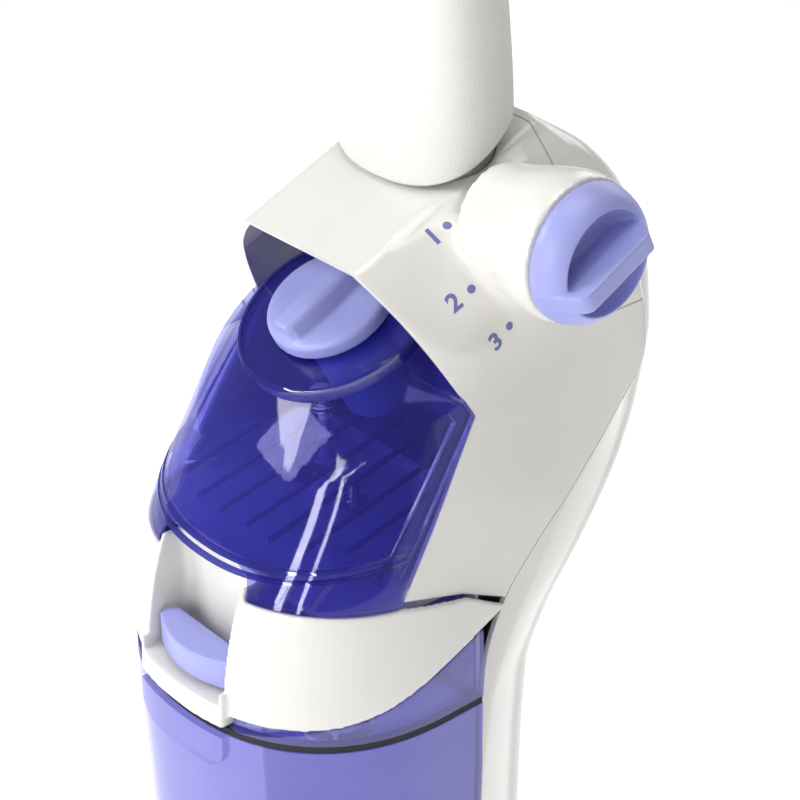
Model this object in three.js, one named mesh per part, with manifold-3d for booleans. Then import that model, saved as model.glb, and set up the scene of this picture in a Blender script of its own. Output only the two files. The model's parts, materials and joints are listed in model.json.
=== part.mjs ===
// Upright wet and dry floor scrubber: an upright body with a clear solution tank and a recovery
// tank, a stalk handle, a mode knob, and a floor head with five counter-rotating brushes.
// Millimetres. +Z is up, -Y is the front, +X is the side of the mode knob. The origin is on the
// floor, under the middle of the machine's bounding box.

import * as THREE from "three";
import { mergeVertices } from "three/addons/utils/BufferGeometryUtils.js";
import Module from "manifold-3d";

const wasm = await Module();
wasm.setup();

// ---------------------------------------------------------------- driving dimensions
const TOTAL_HEIGHT = 1130;
const HEAD_WIDTH = 311;
const REACH = 195;              // front of the nozzle, and back of the motor bulge, from the origin
const BODY_HALF = 108;          // half the width of the upright body
const WALL = 3;                 // housing walls
const TANK_WALL = 2.6;          // clear tank walls
const FIT = 0.5;                // clearance between pieces that meet
const SLIDE_FIT = 1;            // clearance round pieces that slide past each other
const TANK_SIDE_FIT = 3.4;      // the clean water tank's rear half has to clear the narrower hood opening
const PIN_FIT = 0.4;            // radial clearance of a pin in its hole

// Upright body, lower end to top
const BODY_BOTTOM = 112;
const TANK_BOTTOM = 128;        // underside of the recovery tank
const GASKET_Z = 388;           // underside of the recovery tank's lid seal
const GASKET_HEIGHT = 5;
const BAY_FACE = 31;            // front of the spine, behind the recovery tank
const SEAM_Y = 114;             // joint of the front and rear housings over the shoulders
const SHOULDER_Z = 590;         // where that joint steps back to the side edge

// Hood: a sloping top plane and a front rim at right angles to the tank's shelf
const HOOD_TIP_Y = -9;
const HOOD_TIP_Z = 643;
const HOOD_SLOPE = 0.42;
const RIM_SLOPE = 0.55;
const KINK_Z = 564;             // side panel's front corner, under the end of the rim
const PANEL_FOOT = [-21, 474];  // side panel's lower front corner, y and z

// Solution tank
const SHELF_ANGLE = 27.5 * Math.PI / 180;
const CAP_SEAT = [15, 597];     // centre of the filler on the shelf, y and z
const SHELF_R = 57;
const SHELF_SKIRT = 0.55;        // fall of the tank's shoulders away from the shelf
const SHELF_RISE = 8;           // the shelf round the filler stands this far above the tank's shoulders
const CAP_R = 36;
const CAP_HEIGHT = 12;
const CUP_R = 24;
const CUP_DEPTH = 73;
const TANK_BACK = 74;
const FLOOR_FRONT_Z = 490;     // tank floor at its front, and how it rises towards the back
const FLOOR_SLOPE = 0.22;
const SKIRT_Z = 471.5;

// Mode knob
const KNOB_Y = 77;
const KNOB_Z = 657;
const KNOB_R = 38;
const KNOB_FACE = 123;          // outer face of the boss
const KNOB_TOP = 153;
const KNOB_POINTER = 207 * Math.PI / 180;   // from +Y towards +Z

// Handle
const STALK_Y = 79;
const STALK_POWER = 2.4;         // squareness of the stalk's oval section
const STALK_TOP = TOTAL_HEIGHT - 175;
const LIP_SLOPE = 0.72;         // the stalk's lower edge, rising towards the back
const LOOP_Y = 112;
const LOOP_HALF_Y = 50;
const LOOP_HALF_Z = 88;
const LOOP_TILT = 14 * Math.PI / 180;
const LOOP_THICK = 25;
const GRIP_HALF = 16;

// Suction motor and fan, upright axis
const FAN_Y = 127;
const FAN_R = 41;
const FAN_Z = 527;
const MOTOR_R = 40;

// Floor head
const BRUSH_Y = -84;
const BRUSH_PITCH = 52;
const BRUSH_COUNT = 5;
const BRUSH_R = BRUSH_PITCH / 2 - 2;
const GEAR_TEETH = 16;
const GEAR_Z = 44;
const GEAR_HEIGHT = 6;
const PIVOT_Y = 70;
const PIVOT_Z = 62;
const YOKE_R = 25;
const YOKE_HALF = 58;
const WHEEL_R = 38;
const WHEEL_Y = 100;
const WHEEL_HALF = 14;
const WHEEL_X = HEAD_WIDTH / 2 - 18.5;
const ROLLER_R = 10;
const ROLLER_Y = -106;
const DECK_TOP = 98;
const NOZZLE_BACK = -124;
const SQUEEGEE_Y = -152;

const FRONT_POWER = 2.25;
const FRONT_STEPS = 7;
const BACK_CORNER = 22;
const SHOULDER = [[46, 0], [56, -10], [68, -25], [79, -43], [87, -60], [92, -82], [97, -130]];
const WIDE = BODY_HALF + 60;
const PANEL_TIP_Z = 447;        // rear lower corner of the side panel, where the band ends
const NECK_INSET = WALL + 6;
const KNOB_SHAFT_R = 7;
const TANK_INSET = WALL + TANK_SIDE_FIT;
const REAR_BOTTOM = 481;
const ARCH_HALF = 39.5;
const VALVE_AT = [-31, 31];
const VALVE_STEM_R = 3.5;
const VALVE_FLOOR = FLOOR_FRONT_Z + FLOOR_SLOPE * (VALVE_AT[1] - PANEL_FOOT[0] + 50);
const BAY_FRONT = BAY_FACE - SLIDE_FIT;
const BLOCK_HALF = 38;
const BLOCK_BACK = -60;
const BLOCK_TOP = 477;
const BLOCK_BOTTOM = GASKET_Z + GASKET_HEIGHT + 1;
const RECESS_Z = 408;
const RECESS_BACK = -66;
const LID_TOP = 452;
const BAND_LOWER_EDGE = [[-140, 399], [-77, 402], [-42, 409], [-3, 424], [30, 437]];
const LATCH_PIVOT = [-80, 416];
const LATCH_PIN_R = 2;
const CAGE_AT = [36, -16];
const CAGE_BOTTOM = 352;
const PANEL_INSET = WALL + FIT;
const NECK_Z = [662, 742];
const STALK_LIP_Z = 669;        // the stalk's lower edge over the hood, at its front
const LOOP_Z = TOTAL_HEIGHT + 0.9 - Math.hypot(LOOP_HALF_Z * Math.cos(LOOP_TILT), LOOP_HALF_Y * Math.sin(LOOP_TILT));
const STALK_LEVELS = [640, 690, 730, 770, 810, 850, 885, 920, STALK_TOP];
const SWITCH_HALF = 9;
const SWITCH_Z = 890;
const TRIGGER_PIN_R = 2;
const TRIGGER_TOP = 44;         // trigger pivot's height in the loop, from the loop's centre
const TRIGGER_BAR = LOOP_HALF_Y - LOOP_THICK;
const UPPER_HOOK_Z = 865;
const LOWER_HOOK_Z = 790;
const HEAD_BACK = 58;
const HEAD_FRONT = NOZZLE_BACK + 1.5;
const HEAD_LEVELS = [[0, 14, HEAD_FRONT], [0, 66, HEAD_FRONT], [5, 80, -119], [16, 92, -108], [34, DECK_TOP, -90]];
const PLATE_Z = [9, 12];
const ARM_X = [HEAD_WIDTH / 2 - 43.5, HEAD_WIDTH / 2 - 34.5];
const BRACKET_X = [61, 75];
const PIVOT_PIN_R = 11;
const AXLE_R = 5;
const PEDAL_X = [-106, -80];
const PEDAL_PIN = [102, 43];
const PEDAL_PIN_R = 2.5;
const STUB_R = 2.5;
const ROLLER_X = [HEAD_WIDTH / 2 - 13.5, HEAD_WIDTH / 2 - 4.5];
const SQUEEGEE_HALF = HEAD_WIDTH / 2 - 12;
const BLADE_LOW = 4.5;
const PITCH_R = BRUSH_PITCH / 2;
const MODULE = BRUSH_PITCH / GEAR_TEETH;
const ROW_HALF = (BRUSH_COUNT - 1) / 2 * BRUSH_PITCH;
const CARRIER_HALF = ROW_HALF + PITCH_R + MODULE + 5.5;
const CARRIER_FRONT = BRUSH_Y - PITCH_R - MODULE - 2.7;
const CARRIER_BACK = BRUSH_Y + PITCH_R + MODULE + 2.7;
const PINION_TEETH = 8;
const PINION_Y = BRUSH_Y + MODULE * (GEAR_TEETH + PINION_TEETH) / 2;
const SPINDLE_R = 3.5;
const DUCT_X = [40, 92];

// ---------------------------------------------------------------- materials
function plastic(color, roughness, opacity = 1) {
  return new THREE.MeshStandardMaterial({
    color, roughness, metalness: 0, opacity, transparent: opacity < 1,
  });
}
const WHITE = plastic(0xf1efe9, 0.3);
const PEBBLED = plastic(0xe9e7e2, 0.7);
const GREY = plastic(0x9aa39d, 0.55);
const LAVENDER = plastic(0xa5a7dc, 0.4);
const CLEAR_BLUE = plastic(0x3434a8, 0.08, 0.55);
const SMOKE_BLUE = plastic(0x6c6cc4, 0.15, 0.6);
const CUP_BLUE = plastic(0x8f9be0, 0.3, 0.6);
const BLACK = plastic(0x1c1c20, 0.6);
const RUBBER = plastic(0x161618, 0.85);
const BRISTLE = plastic(0x4d58c4, 0.8);
const FOAM = plastic(0x3a3a40, 0.95);
const STEEL = new THREE.MeshStandardMaterial({ color: 0xb9bcc0, roughness: 0.35, metalness: 1 });

// ---------------------------------------------------------------- solids
function solid(geometry) {
  const bare = geometry.index ? geometry.toNonIndexed() : geometry.clone();
  bare.deleteAttribute("normal");
  bare.deleteAttribute("uv");
  const merged = mergeVertices(bare, 1e-4);
  const corners = merged.index.array;
  const kept = [];
  for (let i = 0; i < corners.length; i += 3) {
    const [a, b, c] = [corners[i], corners[i + 1], corners[i + 2]];
    if (a !== b && b !== c && c !== a) kept.push(a, b, c);
  }
  const vertProperties = Float32Array.from(merged.attributes.position.array);
  const build = (order) => new wasm.Manifold(
    new wasm.Mesh({ numProp: 3, vertProperties, triVerts: Uint32Array.from(order) }));
  const first = build(kept);
  return first.volume() > 0 ? first : build(kept.slice().reverse());
}

function unite(first, ...others) {
  return others.reduce((sum, piece) => sum.add(piece), first);
}

function cut(first, ...others) {
  return others.reduce((rest, piece) => rest.subtract(piece), first);
}

function box(x0, x1, y0, y1, z0, z1) {
  const geometry = new THREE.BoxGeometry(x1 - x0, y1 - y0, z1 - z0);
  return solid(geometry.translate((x0 + x1) / 2, (y0 + y1) / 2, (z0 + z1) / 2));
}

// A prism whose outline is given in two axes and which runs along the third.
function outline(points) {
  return new THREE.Shape(points.map(([u, v]) => new THREE.Vector2(u, v)));
}

function extrude(shape, depth, bevel = 0) {
  return new THREE.ExtrudeGeometry(shape, {
    depth: depth - 2 * bevel, curveSegments: 10, bevelEnabled: bevel > 0,
    bevelSize: bevel, bevelThickness: bevel, bevelOffset: -bevel, bevelSegments: 2,
  }).translate(0, 0, bevel);
}

function alongX(shape, x0, x1, bevel = 0) {
  const turn = new THREE.Matrix4().set(0, 0, 1, x0, 1, 0, 0, 0, 0, 1, 0, 0, 0, 0, 0, 1);
  return solid(extrude(shape, x1 - x0, bevel).applyMatrix4(turn));
}

function alongY(shape, y0, y1, shear = 0, bevel = 0) {
  const turn = new THREE.Matrix4().set(1, 0, 0, 0, 0, 0, -1, y1, 0, 1, -shear, shear * y1, 0, 0, 0, 1);
  return solid(extrude(shape, y1 - y0, bevel).applyMatrix4(turn));
}

function alongZ(shape, z0, z1, bevel = 0) {
  return solid(extrude(shape, z1 - z0, bevel).translate(0, 0, z0));
}

function rod(axis, radius, from, to, centre, sides = 20) {
  const geometry = new THREE.CylinderGeometry(radius, radius, to - from, sides);
  geometry.translate(0, (from + to) / 2, 0);
  if (axis === "x") geometry.rotateZ(-Math.PI / 2).translate(0, centre[0], centre[1]);
  if (axis === "y") geometry.translate(centre[0], 0, centre[1]);
  if (axis === "z") geometry.rotateX(Math.PI / 2).translate(centre[0], centre[1], 0);
  return solid(geometry);
}

// A turned piece: profile pairs are radius and height along +Z.
function turned(profile, sides, place = new THREE.Matrix4()) {
  const points = profile.map(([r, z]) => new THREE.Vector2(r, z));
  return solid(new THREE.LatheGeometry(points, sides).rotateX(Math.PI / 2).applyMatrix4(place));
}

function placed(x, y, z, tiltX = 0, turnY = 0) {
  const turn = new THREE.Matrix4().makeRotationX(tiltX);
  const side = new THREE.Matrix4().makeRotationY(turnY);
  return new THREE.Matrix4().makeTranslation(x, y, z).multiply(side).multiply(turn);
}

// A closed skin through rings that all have the same number of points, lowest ring first.
function loft(rings) {
  const count = rings[0].length;
  const points = rings.flat();
  const faces = [];
  for (let k = 0; k + 1 < rings.length; k++) {
    for (let i = 0; i < count; i++) {
      const [a, b] = [k * count + i, k * count + (i + 1) % count];
      faces.push(a, b, b + count, a, b + count, a + count);
    }
  }
  for (const [base, flip] of [[0, true], [(rings.length - 1) * count, false]]) {
    const ring = points.slice(base, base + count);
    const centre = ring.reduce((sum, p) => sum.map((value, i) => value + p[i] / count), [0, 0, 0]);
    points.push(centre);
    for (let i = 0; i < count; i++) {
      const [a, b] = [base + i, base + (i + 1) % count];
      faces.push(...(flip ? [b, a, points.length - 1] : [a, b, points.length - 1]));
    }
  }
  const geometry = new THREE.BufferGeometry();
  geometry.setAttribute("position", new THREE.Float32BufferAttribute(points.flat(), 3));
  geometry.setIndex(faces);
  return solid(geometry);
}

function oval(halfX, halfY, power, count, place) {
  const ring = [];
  for (let i = 0; i < count; i++) {
    const angle = 2 * Math.PI * i / count;
    const [c, s] = [Math.cos(angle), Math.sin(angle)];
    const x = halfX * Math.sign(c) * Math.abs(c) ** (2 / power);
    const y = halfY * Math.sign(s) * Math.abs(s) ** (2 / power);
    ring.push(place(x, y));
  }
  return ring;
}

const model = new THREE.Group();

function add(name, body, material) {
  const mesh = body.getMesh();
  const geometry = new THREE.BufferGeometry();
  geometry.setAttribute("position", new THREE.Float32BufferAttribute(mesh.vertProperties, 3));
  geometry.setIndex([...mesh.triVerts]);
  geometry.computeVertexNormals();
  const piece = new THREE.Mesh(geometry, material);
  piece.name = name;
  model.add(piece);
}

// ---------------------------------------------------------------- the body's outer form
// Stations up the body. half, backHalf are shares of the body's half width in millimetres below it.
const STATIONS = [
  // z, nose, widest, half, crease, back, backHalf
  [100, -62, 4, -12, 31, 97, -28],
  [150, -86, 4, -7, 31, 99, -27],
  [230, -95, 4, -3, 31, 99, -26],
  [320, -99, 4, -1, 31, 99, -25],
  [374, -101, 4, 0, 31, 100, -23],
  [410, -100, 4, 0, 35, 111, -20],
  [444, -95, 4, -2, 49, 133, -18],
  [474, -86, 6, -5, 76, 157, -20],
  [497, -73, 12, -8, 103, 173, -23],
  [525, -57, 24, -11, 133, 186, -26],
  [562, -39, 44, -15, 164, 194, -28],
  [588, -27, 50, -18, 163, REACH, -31],
  [620, -20, 52, -20, 150, 188, -34],
  [650, -18, 52, -22, 128, 174, -38],
  [675, -18, 52, -24, 100, 152, -42],
  [690, -18, 52, -26, 84, 130, -48],
  [704, -18, 52, -28, 74, 108, -54],
];

function station(z, column) {
  const last = STATIONS.length - 1;
  let k = 0;
  while (k < last - 1 && z > STATIONS[k + 1][0]) k++;
  const slopeOf = (i) => (STATIONS[i + 1][column] - STATIONS[i][column])
    / (STATIONS[i + 1][0] - STATIONS[i][0]);
  const tangent = (i) => {
    if (i === 0) return slopeOf(0);
    if (i === last) return slopeOf(last - 1);
    const [a, b] = [slopeOf(i - 1), slopeOf(i)];
    return a * b <= 0 ? 0 : 2 * a * b / (a + b);
  };
  const [z0, z1] = [STATIONS[k][0], STATIONS[k + 1][0]];
  const [v0, v1] = [STATIONS[k][column], STATIONS[k + 1][column]];
  const t = (z - z0) / (z1 - z0);
  const h = z1 - z0;
  return v0 * (2 * t ** 3 - 3 * t ** 2 + 1) + tangent(k) * h * (t ** 3 - 2 * t ** 2 + t)
    + v1 * (3 * t ** 2 - 2 * t ** 3) + tangent(k + 1) * h * (t ** 3 - t ** 2);
}

function section(z) {
  return {
    nose: station(z, 1), widest: station(z, 2), half: BODY_HALF + station(z, 3),
    crease: station(z, 4), back: station(z, 5), backHalf: BODY_HALF + station(z, 6),
  };
}

function hullRing(z, inset) {
  const s = section(z);
  const half = s.half - inset;
  const nose = s.nose + inset;
  const back = s.back - inset;
  const backHalf = s.backHalf - inset;
  const right = [];
  for (let i = 0; i <= FRONT_STEPS; i++) {
    const angle = Math.PI / 2 * i / FRONT_STEPS;
    const x = half * Math.sin(angle) ** (2 / FRONT_POWER);
    const y = s.widest - (s.widest - nose) * Math.cos(angle) ** (2 / FRONT_POWER);
    right.push([x, i === FRONT_STEPS ? s.widest : y]);
  }
  right.push([half, (s.widest + s.crease) / 2], [half, s.crease]);
  const corner = Math.min(BACK_CORNER, (back - s.crease) * 0.7);
  right.push([(half + backHalf) / 2 + 1.5, (s.crease + back - corner) / 2]);
  for (let i = 0; i <= 3; i++) {
    const angle = Math.PI / 2 * i / 3;
    const x = backHalf - corner + corner * Math.cos(angle);
    right.push([x, back - corner + corner * Math.sin(angle)]);
  }
  const left = right.slice(1).reverse().map(([x, y]) => [-x, y]);
  return [...right, [0, back], ...left].map(([x, y]) => [x, y, z]);
}

const HULL_LEVELS = [108, 140, 185, 240, 300, 345, 380, 410, 432, 455, 478, 501, 525, 545, 562, 580,
  600, 625, 650, 675, 692, 704];

function hull(inset, levels = HULL_LEVELS) {
  return loft(levels.map((z) => hullRing(z, inset)));
}

// The hood's cross-section: flat top, sloping shoulders, then the sides, swept up the top plane.

function topLimit(inset) {
  const right = SHOULDER.map(([x, v]) => [x - inset, v - inset]);
  right.push([BODY_HALF + 20 - inset, -700]);
  const left = right.slice().reverse().map(([x, v]) => [-x, v]);
  const lift = HOOD_TIP_Z - HOOD_SLOPE * HOOD_TIP_Y;
  const points = [...right, ...left].map(([x, v]) => [x, v + lift]);
  return alongY(outline(points), -300, 300, HOOD_SLOPE);
}

const creaseY = (z) => station(z, 4);

function sideRegion(points) {
  return alongX(outline(points), -WIDE, WIDE);
}

// Side edge from the shoulder step down to z, as region corners.
function creaseLine(fromZ, toZ, shift) {
  const levels = HULL_LEVELS.filter((z) => z < fromZ && z > toZ).reverse();
  return [fromZ, ...levels, toZ].map((z) => [creaseY(z) + shift, z]);
}

function rimY(z) {
  return HOOD_TIP_Y + (HOOD_TIP_Z - z) * RIM_SLOPE;
}

// ---------------------------------------------------------------- upright body: housings

function frontRegion() {
  return sideRegion([
    [rimY(760), 760], [rimY(KINK_Z), KINK_Z], PANEL_FOOT, [20, 462],
    ...creaseLine(SHOULDER_Z, PANEL_TIP_Z, 0).reverse(),
    [SEAM_Y, SHOULDER_Z], [SEAM_Y, 760],
  ]);
}

function rearRegion() {
  return sideRegion([
    [SEAM_Y + FIT, 760], [SEAM_Y + FIT, SHOULDER_Z + FIT], [creaseY(SHOULDER_Z) + FIT, SHOULDER_Z + FIT],
    ...creaseLine(SHOULDER_Z, 240, FIT).slice(1), [BAY_FACE + FIT, 240], [BAY_FACE + FIT, BODY_BOTTOM],
    [REACH + 20, BODY_BOTTOM], [REACH + 20, 760],
  ]);
}

function knobBoss(inset) {
  const profile = [[0, 60], [34 - inset, 60], [40.5 - inset, 92], [40.5 - inset, 108],
    [KNOB_R + 1.5 - inset, KNOB_FACE - inset], [0, KNOB_FACE - inset]];
  return turned(profile, 32, placed(0, KNOB_Y, KNOB_Z, 0, Math.PI / 2));
}

function stalkSection(z, grow = 0) {
  const share = Math.min(1, Math.max(0, (z - 690) / (STALK_TOP - 690)));
  const ease = share * share * (3 - 2 * share);
  const halfX = 56 - 35 * ease + grow;
  const halfY = 34 - 17 * ease + grow;
  const lean = 15 * share ** 2;
  return (x, y) => [x * halfX, STALK_Y + lean + y * halfY, z];
}


function neckHole() {
  return loft([600, 780].map((z) => oval(1, 1, STALK_POWER, 28, stalkSection(690, FIT - NECK_INSET)))
    .map((ring, i) => ring.map(([x, y]) => [x, y, [600, 780][i]])));
}

const outerForm = hull(0).intersect(topLimit(0));
const innerForm = hull(WALL).intersect(topLimit(WALL));

function frontHousing() {
  const region = frontRegion();
  const bossCut = box(-WIDE, WIDE, SEAM_Y, 400, 0, 800);
  const boss = cut(knobBoss(0), bossCut);
  const inside = unite(innerForm, knobBoss(WALL));
  const skin = unite(outerForm.intersect(region), boss);
  return cut(skin, inside, neckHole(), rod("x", KNOB_SHAFT_R + PIN_FIT, 100, 140, [KNOB_Y, KNOB_Z]));
}

function rearHousing() {
  let body = cut(outerForm.intersect(rearRegion()), innerForm, knobBoss(-FIT));
  for (let i = 0; i < 7; i++) {
    const z = 556 + i * 11;
    body = body.subtract(box(-44, 44, 150, REACH + 10, z, z + 5));
  }
  body = body.subtract(rod("y", 7 + FIT, 150, REACH + 10, [-52, 530], 16));
  return body;
}


// ---------------------------------------------------------------- solution tank
function halfPlaneBelow(y0, z0, slope, depth) {
  const far = 300;
  return sideRegion([[-far, z0 + slope * (-far - y0)], [-far, z0 - depth], [far, z0 - depth],
    [far, z0 + slope * (far - y0)]]);
}

function halfPlaneAbove(y0, z0, slope) {
  const far = 300;
  return sideRegion([[-far, z0 + slope * (-far - y0)], [far, z0 + slope * (far - y0)],
    [far, 1200], [-far, 1200]]);
}

// The opening under the hood's rim, seen from the front: what slides out has to fit it.
function hoodWindow(inset) {
  const lean = 1 + HOOD_SLOPE * RIM_SLOPE;
  const right = SHOULDER.map(([x, v]) => [x - inset, HOOD_TIP_Z + v / lean - inset]);
  right.push([BODY_HALF + 20 - inset, 0]);
  const left = right.slice().reverse().map(([x, z]) => [-x, z]);
  return alongY(outline([...right, ...left]), -300, 300);
}

function tankFrontRegion(back, bottom) {
  return sideRegion([[-140, bottom], [PANEL_FOOT[0] - back, bottom], [PANEL_FOOT[0] - back, PANEL_FOOT[1]],
    [rimY(KINK_Z) - back, KINK_Z], [rimY(760) - back, 760], [-140, 760]]);
}

function shelfPlace(lift) {
  const [y, z] = CAP_SEAT;
  return placed(0, y - lift * Math.sin(SHELF_ANGLE), z + lift * Math.cos(SHELF_ANGLE), SHELF_ANGLE);
}

function shelfDisc(radius, from, to, sides = 36) {
  return turned([[0, from], [radius, from], [radius, to], [0, to]], sides, shelfPlace(0));
}


function tankForm(inset) {
  const front = hull(inset).intersect(topLimit(inset)).intersect(tankFrontRegion(FIT + inset, 400));
  const backInset = TANK_INSET + inset;
  const window = hoodWindow(backInset);
  const depth = sideRegion([[-120, 400], [TANK_BACK - inset, 400], [TANK_BACK - inset, 700], [-120, 700]]);
  const rear = hull(backInset).intersect(topLimit(backInset)).intersect(window).intersect(depth);
  const low = -SHELF_RISE - inset;
  const far = 300;
  const top = turned([[0, -far], [far, -far], [far, low - (far - SHELF_R) * SHELF_SKIRT], [SHELF_R, low],
    [SHELF_R - inset, low], [SHELF_R - inset, -inset], [0, -inset]], 36, shelfPlace(0));
  return front.add(rear).intersect(top);
}

function solutionTank() {
  const rearCut = box(-WIDE, WIDE, PANEL_FOOT[0] - FIT, 200, 0, REAR_BOTTOM);
  const outer = cut(tankForm(0), box(-WIDE, WIDE, -200, 200, 0, SKIRT_Z), rearCut);
  const floor = halfPlaneAbove(PANEL_FOOT[0] - 50, FLOOR_FRONT_Z, FLOOR_SLOPE);
  const under = halfPlaneBelow(PANEL_FOOT[0] - 50, FLOOR_FRONT_Z - TANK_WALL, FLOOR_SLOPE, 100);
  const inside = tankForm(TANK_WALL);
  const skirtHollow = hull(TANK_WALL).intersect(under)
    .intersect(box(-WIDE, WIDE, -200, PANEL_FOOT[0] + 1, 0, 600));
  const rearHollow = cut(hull(TANK_INSET + TANK_WALL).intersect(under),
    box(-WIDE, WIDE, TANK_BACK - TANK_WALL, 300, 0, 700));
  const arch = box(-ARCH_HALF, ARCH_HALF, -140, -50, 0, 484);
  const hole = shelfDisc(CUP_R + 1.5, -20, 5, 28);
  let tank = cut(outer, inside.intersect(floor), skirtHollow, rearHollow, arch, hole);
  for (const [x, y] of [[42, -8], [-3, -12]]) {
    const z = FLOOR_FRONT_Z + FLOOR_SLOPE * (y - PANEL_FOOT[0] + 50);
    tank = unite(tank, rod("z", 9, z - 2, z + 2, [x, y], 16), rod("z", 3.5, z - 2, z + 11, [x, y], 12));
  }
  return tank.subtract(rod("z", VALVE_STEM_R + PIN_FIT, 470, 530, VALVE_AT, 16));
}


function valvePlunger() {
  return turned([[0, 484], [7, 484], [7, 486], [VALVE_STEM_R, 487], [VALVE_STEM_R, VALVE_FLOOR + 14],
    [8, VALVE_FLOOR + 15], [8, VALVE_FLOOR + 18], [0, VALVE_FLOOR + 20]], 16,
  placed(VALVE_AT[0], VALVE_AT[1], 0));
}

function valveSpring() {
  const turns = 3.5;
  const height = 9;
  const points = [];
  for (let i = 0; i <= turns * 10; i++) {
    const angle = i * Math.PI / 5;
    points.push(new THREE.Vector3(VALVE_AT[0] + 6 * Math.cos(angle), VALVE_AT[1] + 6 * Math.sin(angle),
      VALVE_FLOOR + 3 + height * i / (turns * 10)));
  }
  return pipe(points, 0.9, 0, 6, turns * 10);
}

// A round bar or tube that follows points; an inner radius of 0 makes it solid.
function pipe(points, outer, inner, sides, steps) {
  const ring = (radius, turn) => {
    const shape = turn > 0 ? new THREE.Shape() : new THREE.Path();
    for (let i = 0; i < sides; i++) {
      const angle = turn * 2 * Math.PI * i / sides;
      const [x, y] = [radius * Math.cos(angle), radius * Math.sin(angle)];
      if (i === 0) shape.moveTo(x, y);
      else shape.lineTo(x, y);
    }
    shape.closePath();
    return shape;
  };
  const shape = ring(outer, 1);
  if (inner > 0) shape.holes.push(ring(inner, -1));
  const path = new THREE.CatmullRomCurve3(points, false, "centripetal");
  return solid(new THREE.ExtrudeGeometry(shape, { steps, bevelEnabled: false, extrudePath: path }));
}

function tankCap() {
  const top = CAP_HEIGHT;
  const disc = turned([[0, 2.3], [CAP_R, 2.3], [CAP_R, top - 4], [CAP_R - 1.2, top - 1.2],
    [CAP_R - 4, top], [0, top]], 32, shelfPlace(0));
  const bar = new THREE.Shape();
  bar.absellipse(0, 0, CAP_R - 3, 8.5, 0, 2 * Math.PI);
  const grip = solid(extrude(bar, 11, 2).translate(0, 0, top - 1).rotateZ(Math.PI / 2)
    .applyMatrix4(shelfPlace(0)));
  return unite(disc, grip);
}

function capSeal() {
  return turned([[CUP_R + 3, 0.4], [CAP_R - 2, 0.4], [CAP_R - 2, 1.9], [CUP_R + 3, 1.9], [CUP_R + 3, 0.4]],
    28, shelfPlace(0));
}

function measuringCup() {
  const r = CUP_R;
  return turned([[0, -CUP_DEPTH], [r - 10, -CUP_DEPTH], [r - 4, -CUP_DEPTH + 5], [r, 1.9],
    [r - 1.8, 1.9], [r - 5.8, -CUP_DEPTH + 6.5], [r - 10.5, -CUP_DEPTH + 2], [0, -CUP_DEPTH + 2]],
  28, shelfPlace(0));
}

// ---------------------------------------------------------------- recovery tank and its lid

function bayRegion(z0, z1, back = BAY_FRONT) {
  return box(-WIDE, WIDE, -200, back, z0, z1);
}

function recoveryTank() {
  const region = bayRegion(TANK_BOTTOM, GASKET_Z);
  const bump = hull(-4).intersect(box(-BLOCK_HALF, BLOCK_HALF, -200, -60, 365, GASKET_Z));
  const hollow = hull(TANK_WALL).intersect(bayRegion(TANK_BOTTOM + TANK_WALL, 500, BAY_FRONT - TANK_WALL));
  return cut(unite(hull(0).intersect(region), bump), hollow);
}

function lidGasket() {
  const low = GASKET_Z + 0.3;
  const high = GASKET_Z + GASKET_HEIGHT - 0.3;
  const inner = hull(6).intersect(bayRegion(0, 900, BAY_FRONT - 5));
  return cut(hull(0.8).intersect(bayRegion(low, high, BAY_FRONT - 0.5)), inner);
}


function bandRegion(shift) {
  const tipY = creaseY(PANEL_TIP_Z - 3) - 1;
  return sideRegion([[-140, SKIRT_Z - 1], [PANEL_FOOT[0] - 2, SKIRT_Z - 1], [20, 461], [tipY, PANEL_TIP_Z - 2],
    ...BAND_LOWER_EDGE.slice().reverse().map(([y, z]) => [y, z - shift])]);
}

function blockForm(grow) {
  return box(-BLOCK_HALF - grow, BLOCK_HALF + grow, -160, BLOCK_BACK + grow, BLOCK_BOTTOM - grow,
    BLOCK_TOP + grow);
}

function lidBand() {
  const band = cut(hull(0).intersect(bandRegion(0)), hull(WALL));
  const proud = hull(-4).intersect(blockForm(0)).intersect(box(-WIDE, WIDE, -200, 0, 0, RECESS_Z + 8));
  const frame = hull(0).intersect(blockForm(0));
  const recess = box(-BLOCK_HALF + WALL, BLOCK_HALF - WALL, -160, RECESS_BACK, RECESS_Z, 600);
  const underside = box(-BLOCK_HALF + WALL, BLOCK_HALF - WALL, -160, RECESS_BACK, 300, RECESS_Z - WALL)
    .intersect(hull(WALL));
  const pinHole = rod("x", LATCH_PIN_R + PIN_FIT, -BLOCK_HALF - 1, BLOCK_HALF + 1, LATCH_PIVOT, 12);
  return cut(unite(band, frame, proud), recess, underside, pinHole);
}

function recoveryLid() {
  const skirt = cut(hull(0).intersect(bayRegion(GASKET_Z + GASKET_HEIGHT, 460)), bandRegion(FIT),
    halfPlaneAbove(0, 426, 0.35));
  const inset = WALL + FIT;
  const dome = hull(inset).intersect(bayRegion(GASKET_Z + GASKET_HEIGHT, LID_TOP));
  const thick = inset + TANK_WALL;
  const hollow = cut(hull(thick).intersect(bayRegion(0, LID_TOP - TANK_WALL, BAY_FRONT - TANK_WALL)),
    blockForm(FIT + TANK_WALL));
  const ports = [-34, 34].map((x) => rod("y", 12, 20, 60, [x, 428], 16));
  return cut(unite(skirt, dome), blockForm(FIT), hollow, ...ports);
}


function latchLever() {
  const half = BLOCK_HALF - WALL - SLIDE_FIT;
  const shape = new THREE.Shape();
  shape.moveTo(-half, -76);
  shape.lineTo(-half, -88);
  shape.quadraticCurveTo(0, -106, half, -88);
  shape.lineTo(half, -76);
  shape.closePath();
  return alongZ(shape, RECESS_Z + 1.5, RECESS_Z + 23, 1)
    .add(rod("x", LATCH_PIN_R, -BLOCK_HALF + 0.5, BLOCK_HALF - 0.5, LATCH_PIVOT, 12));
}


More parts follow.
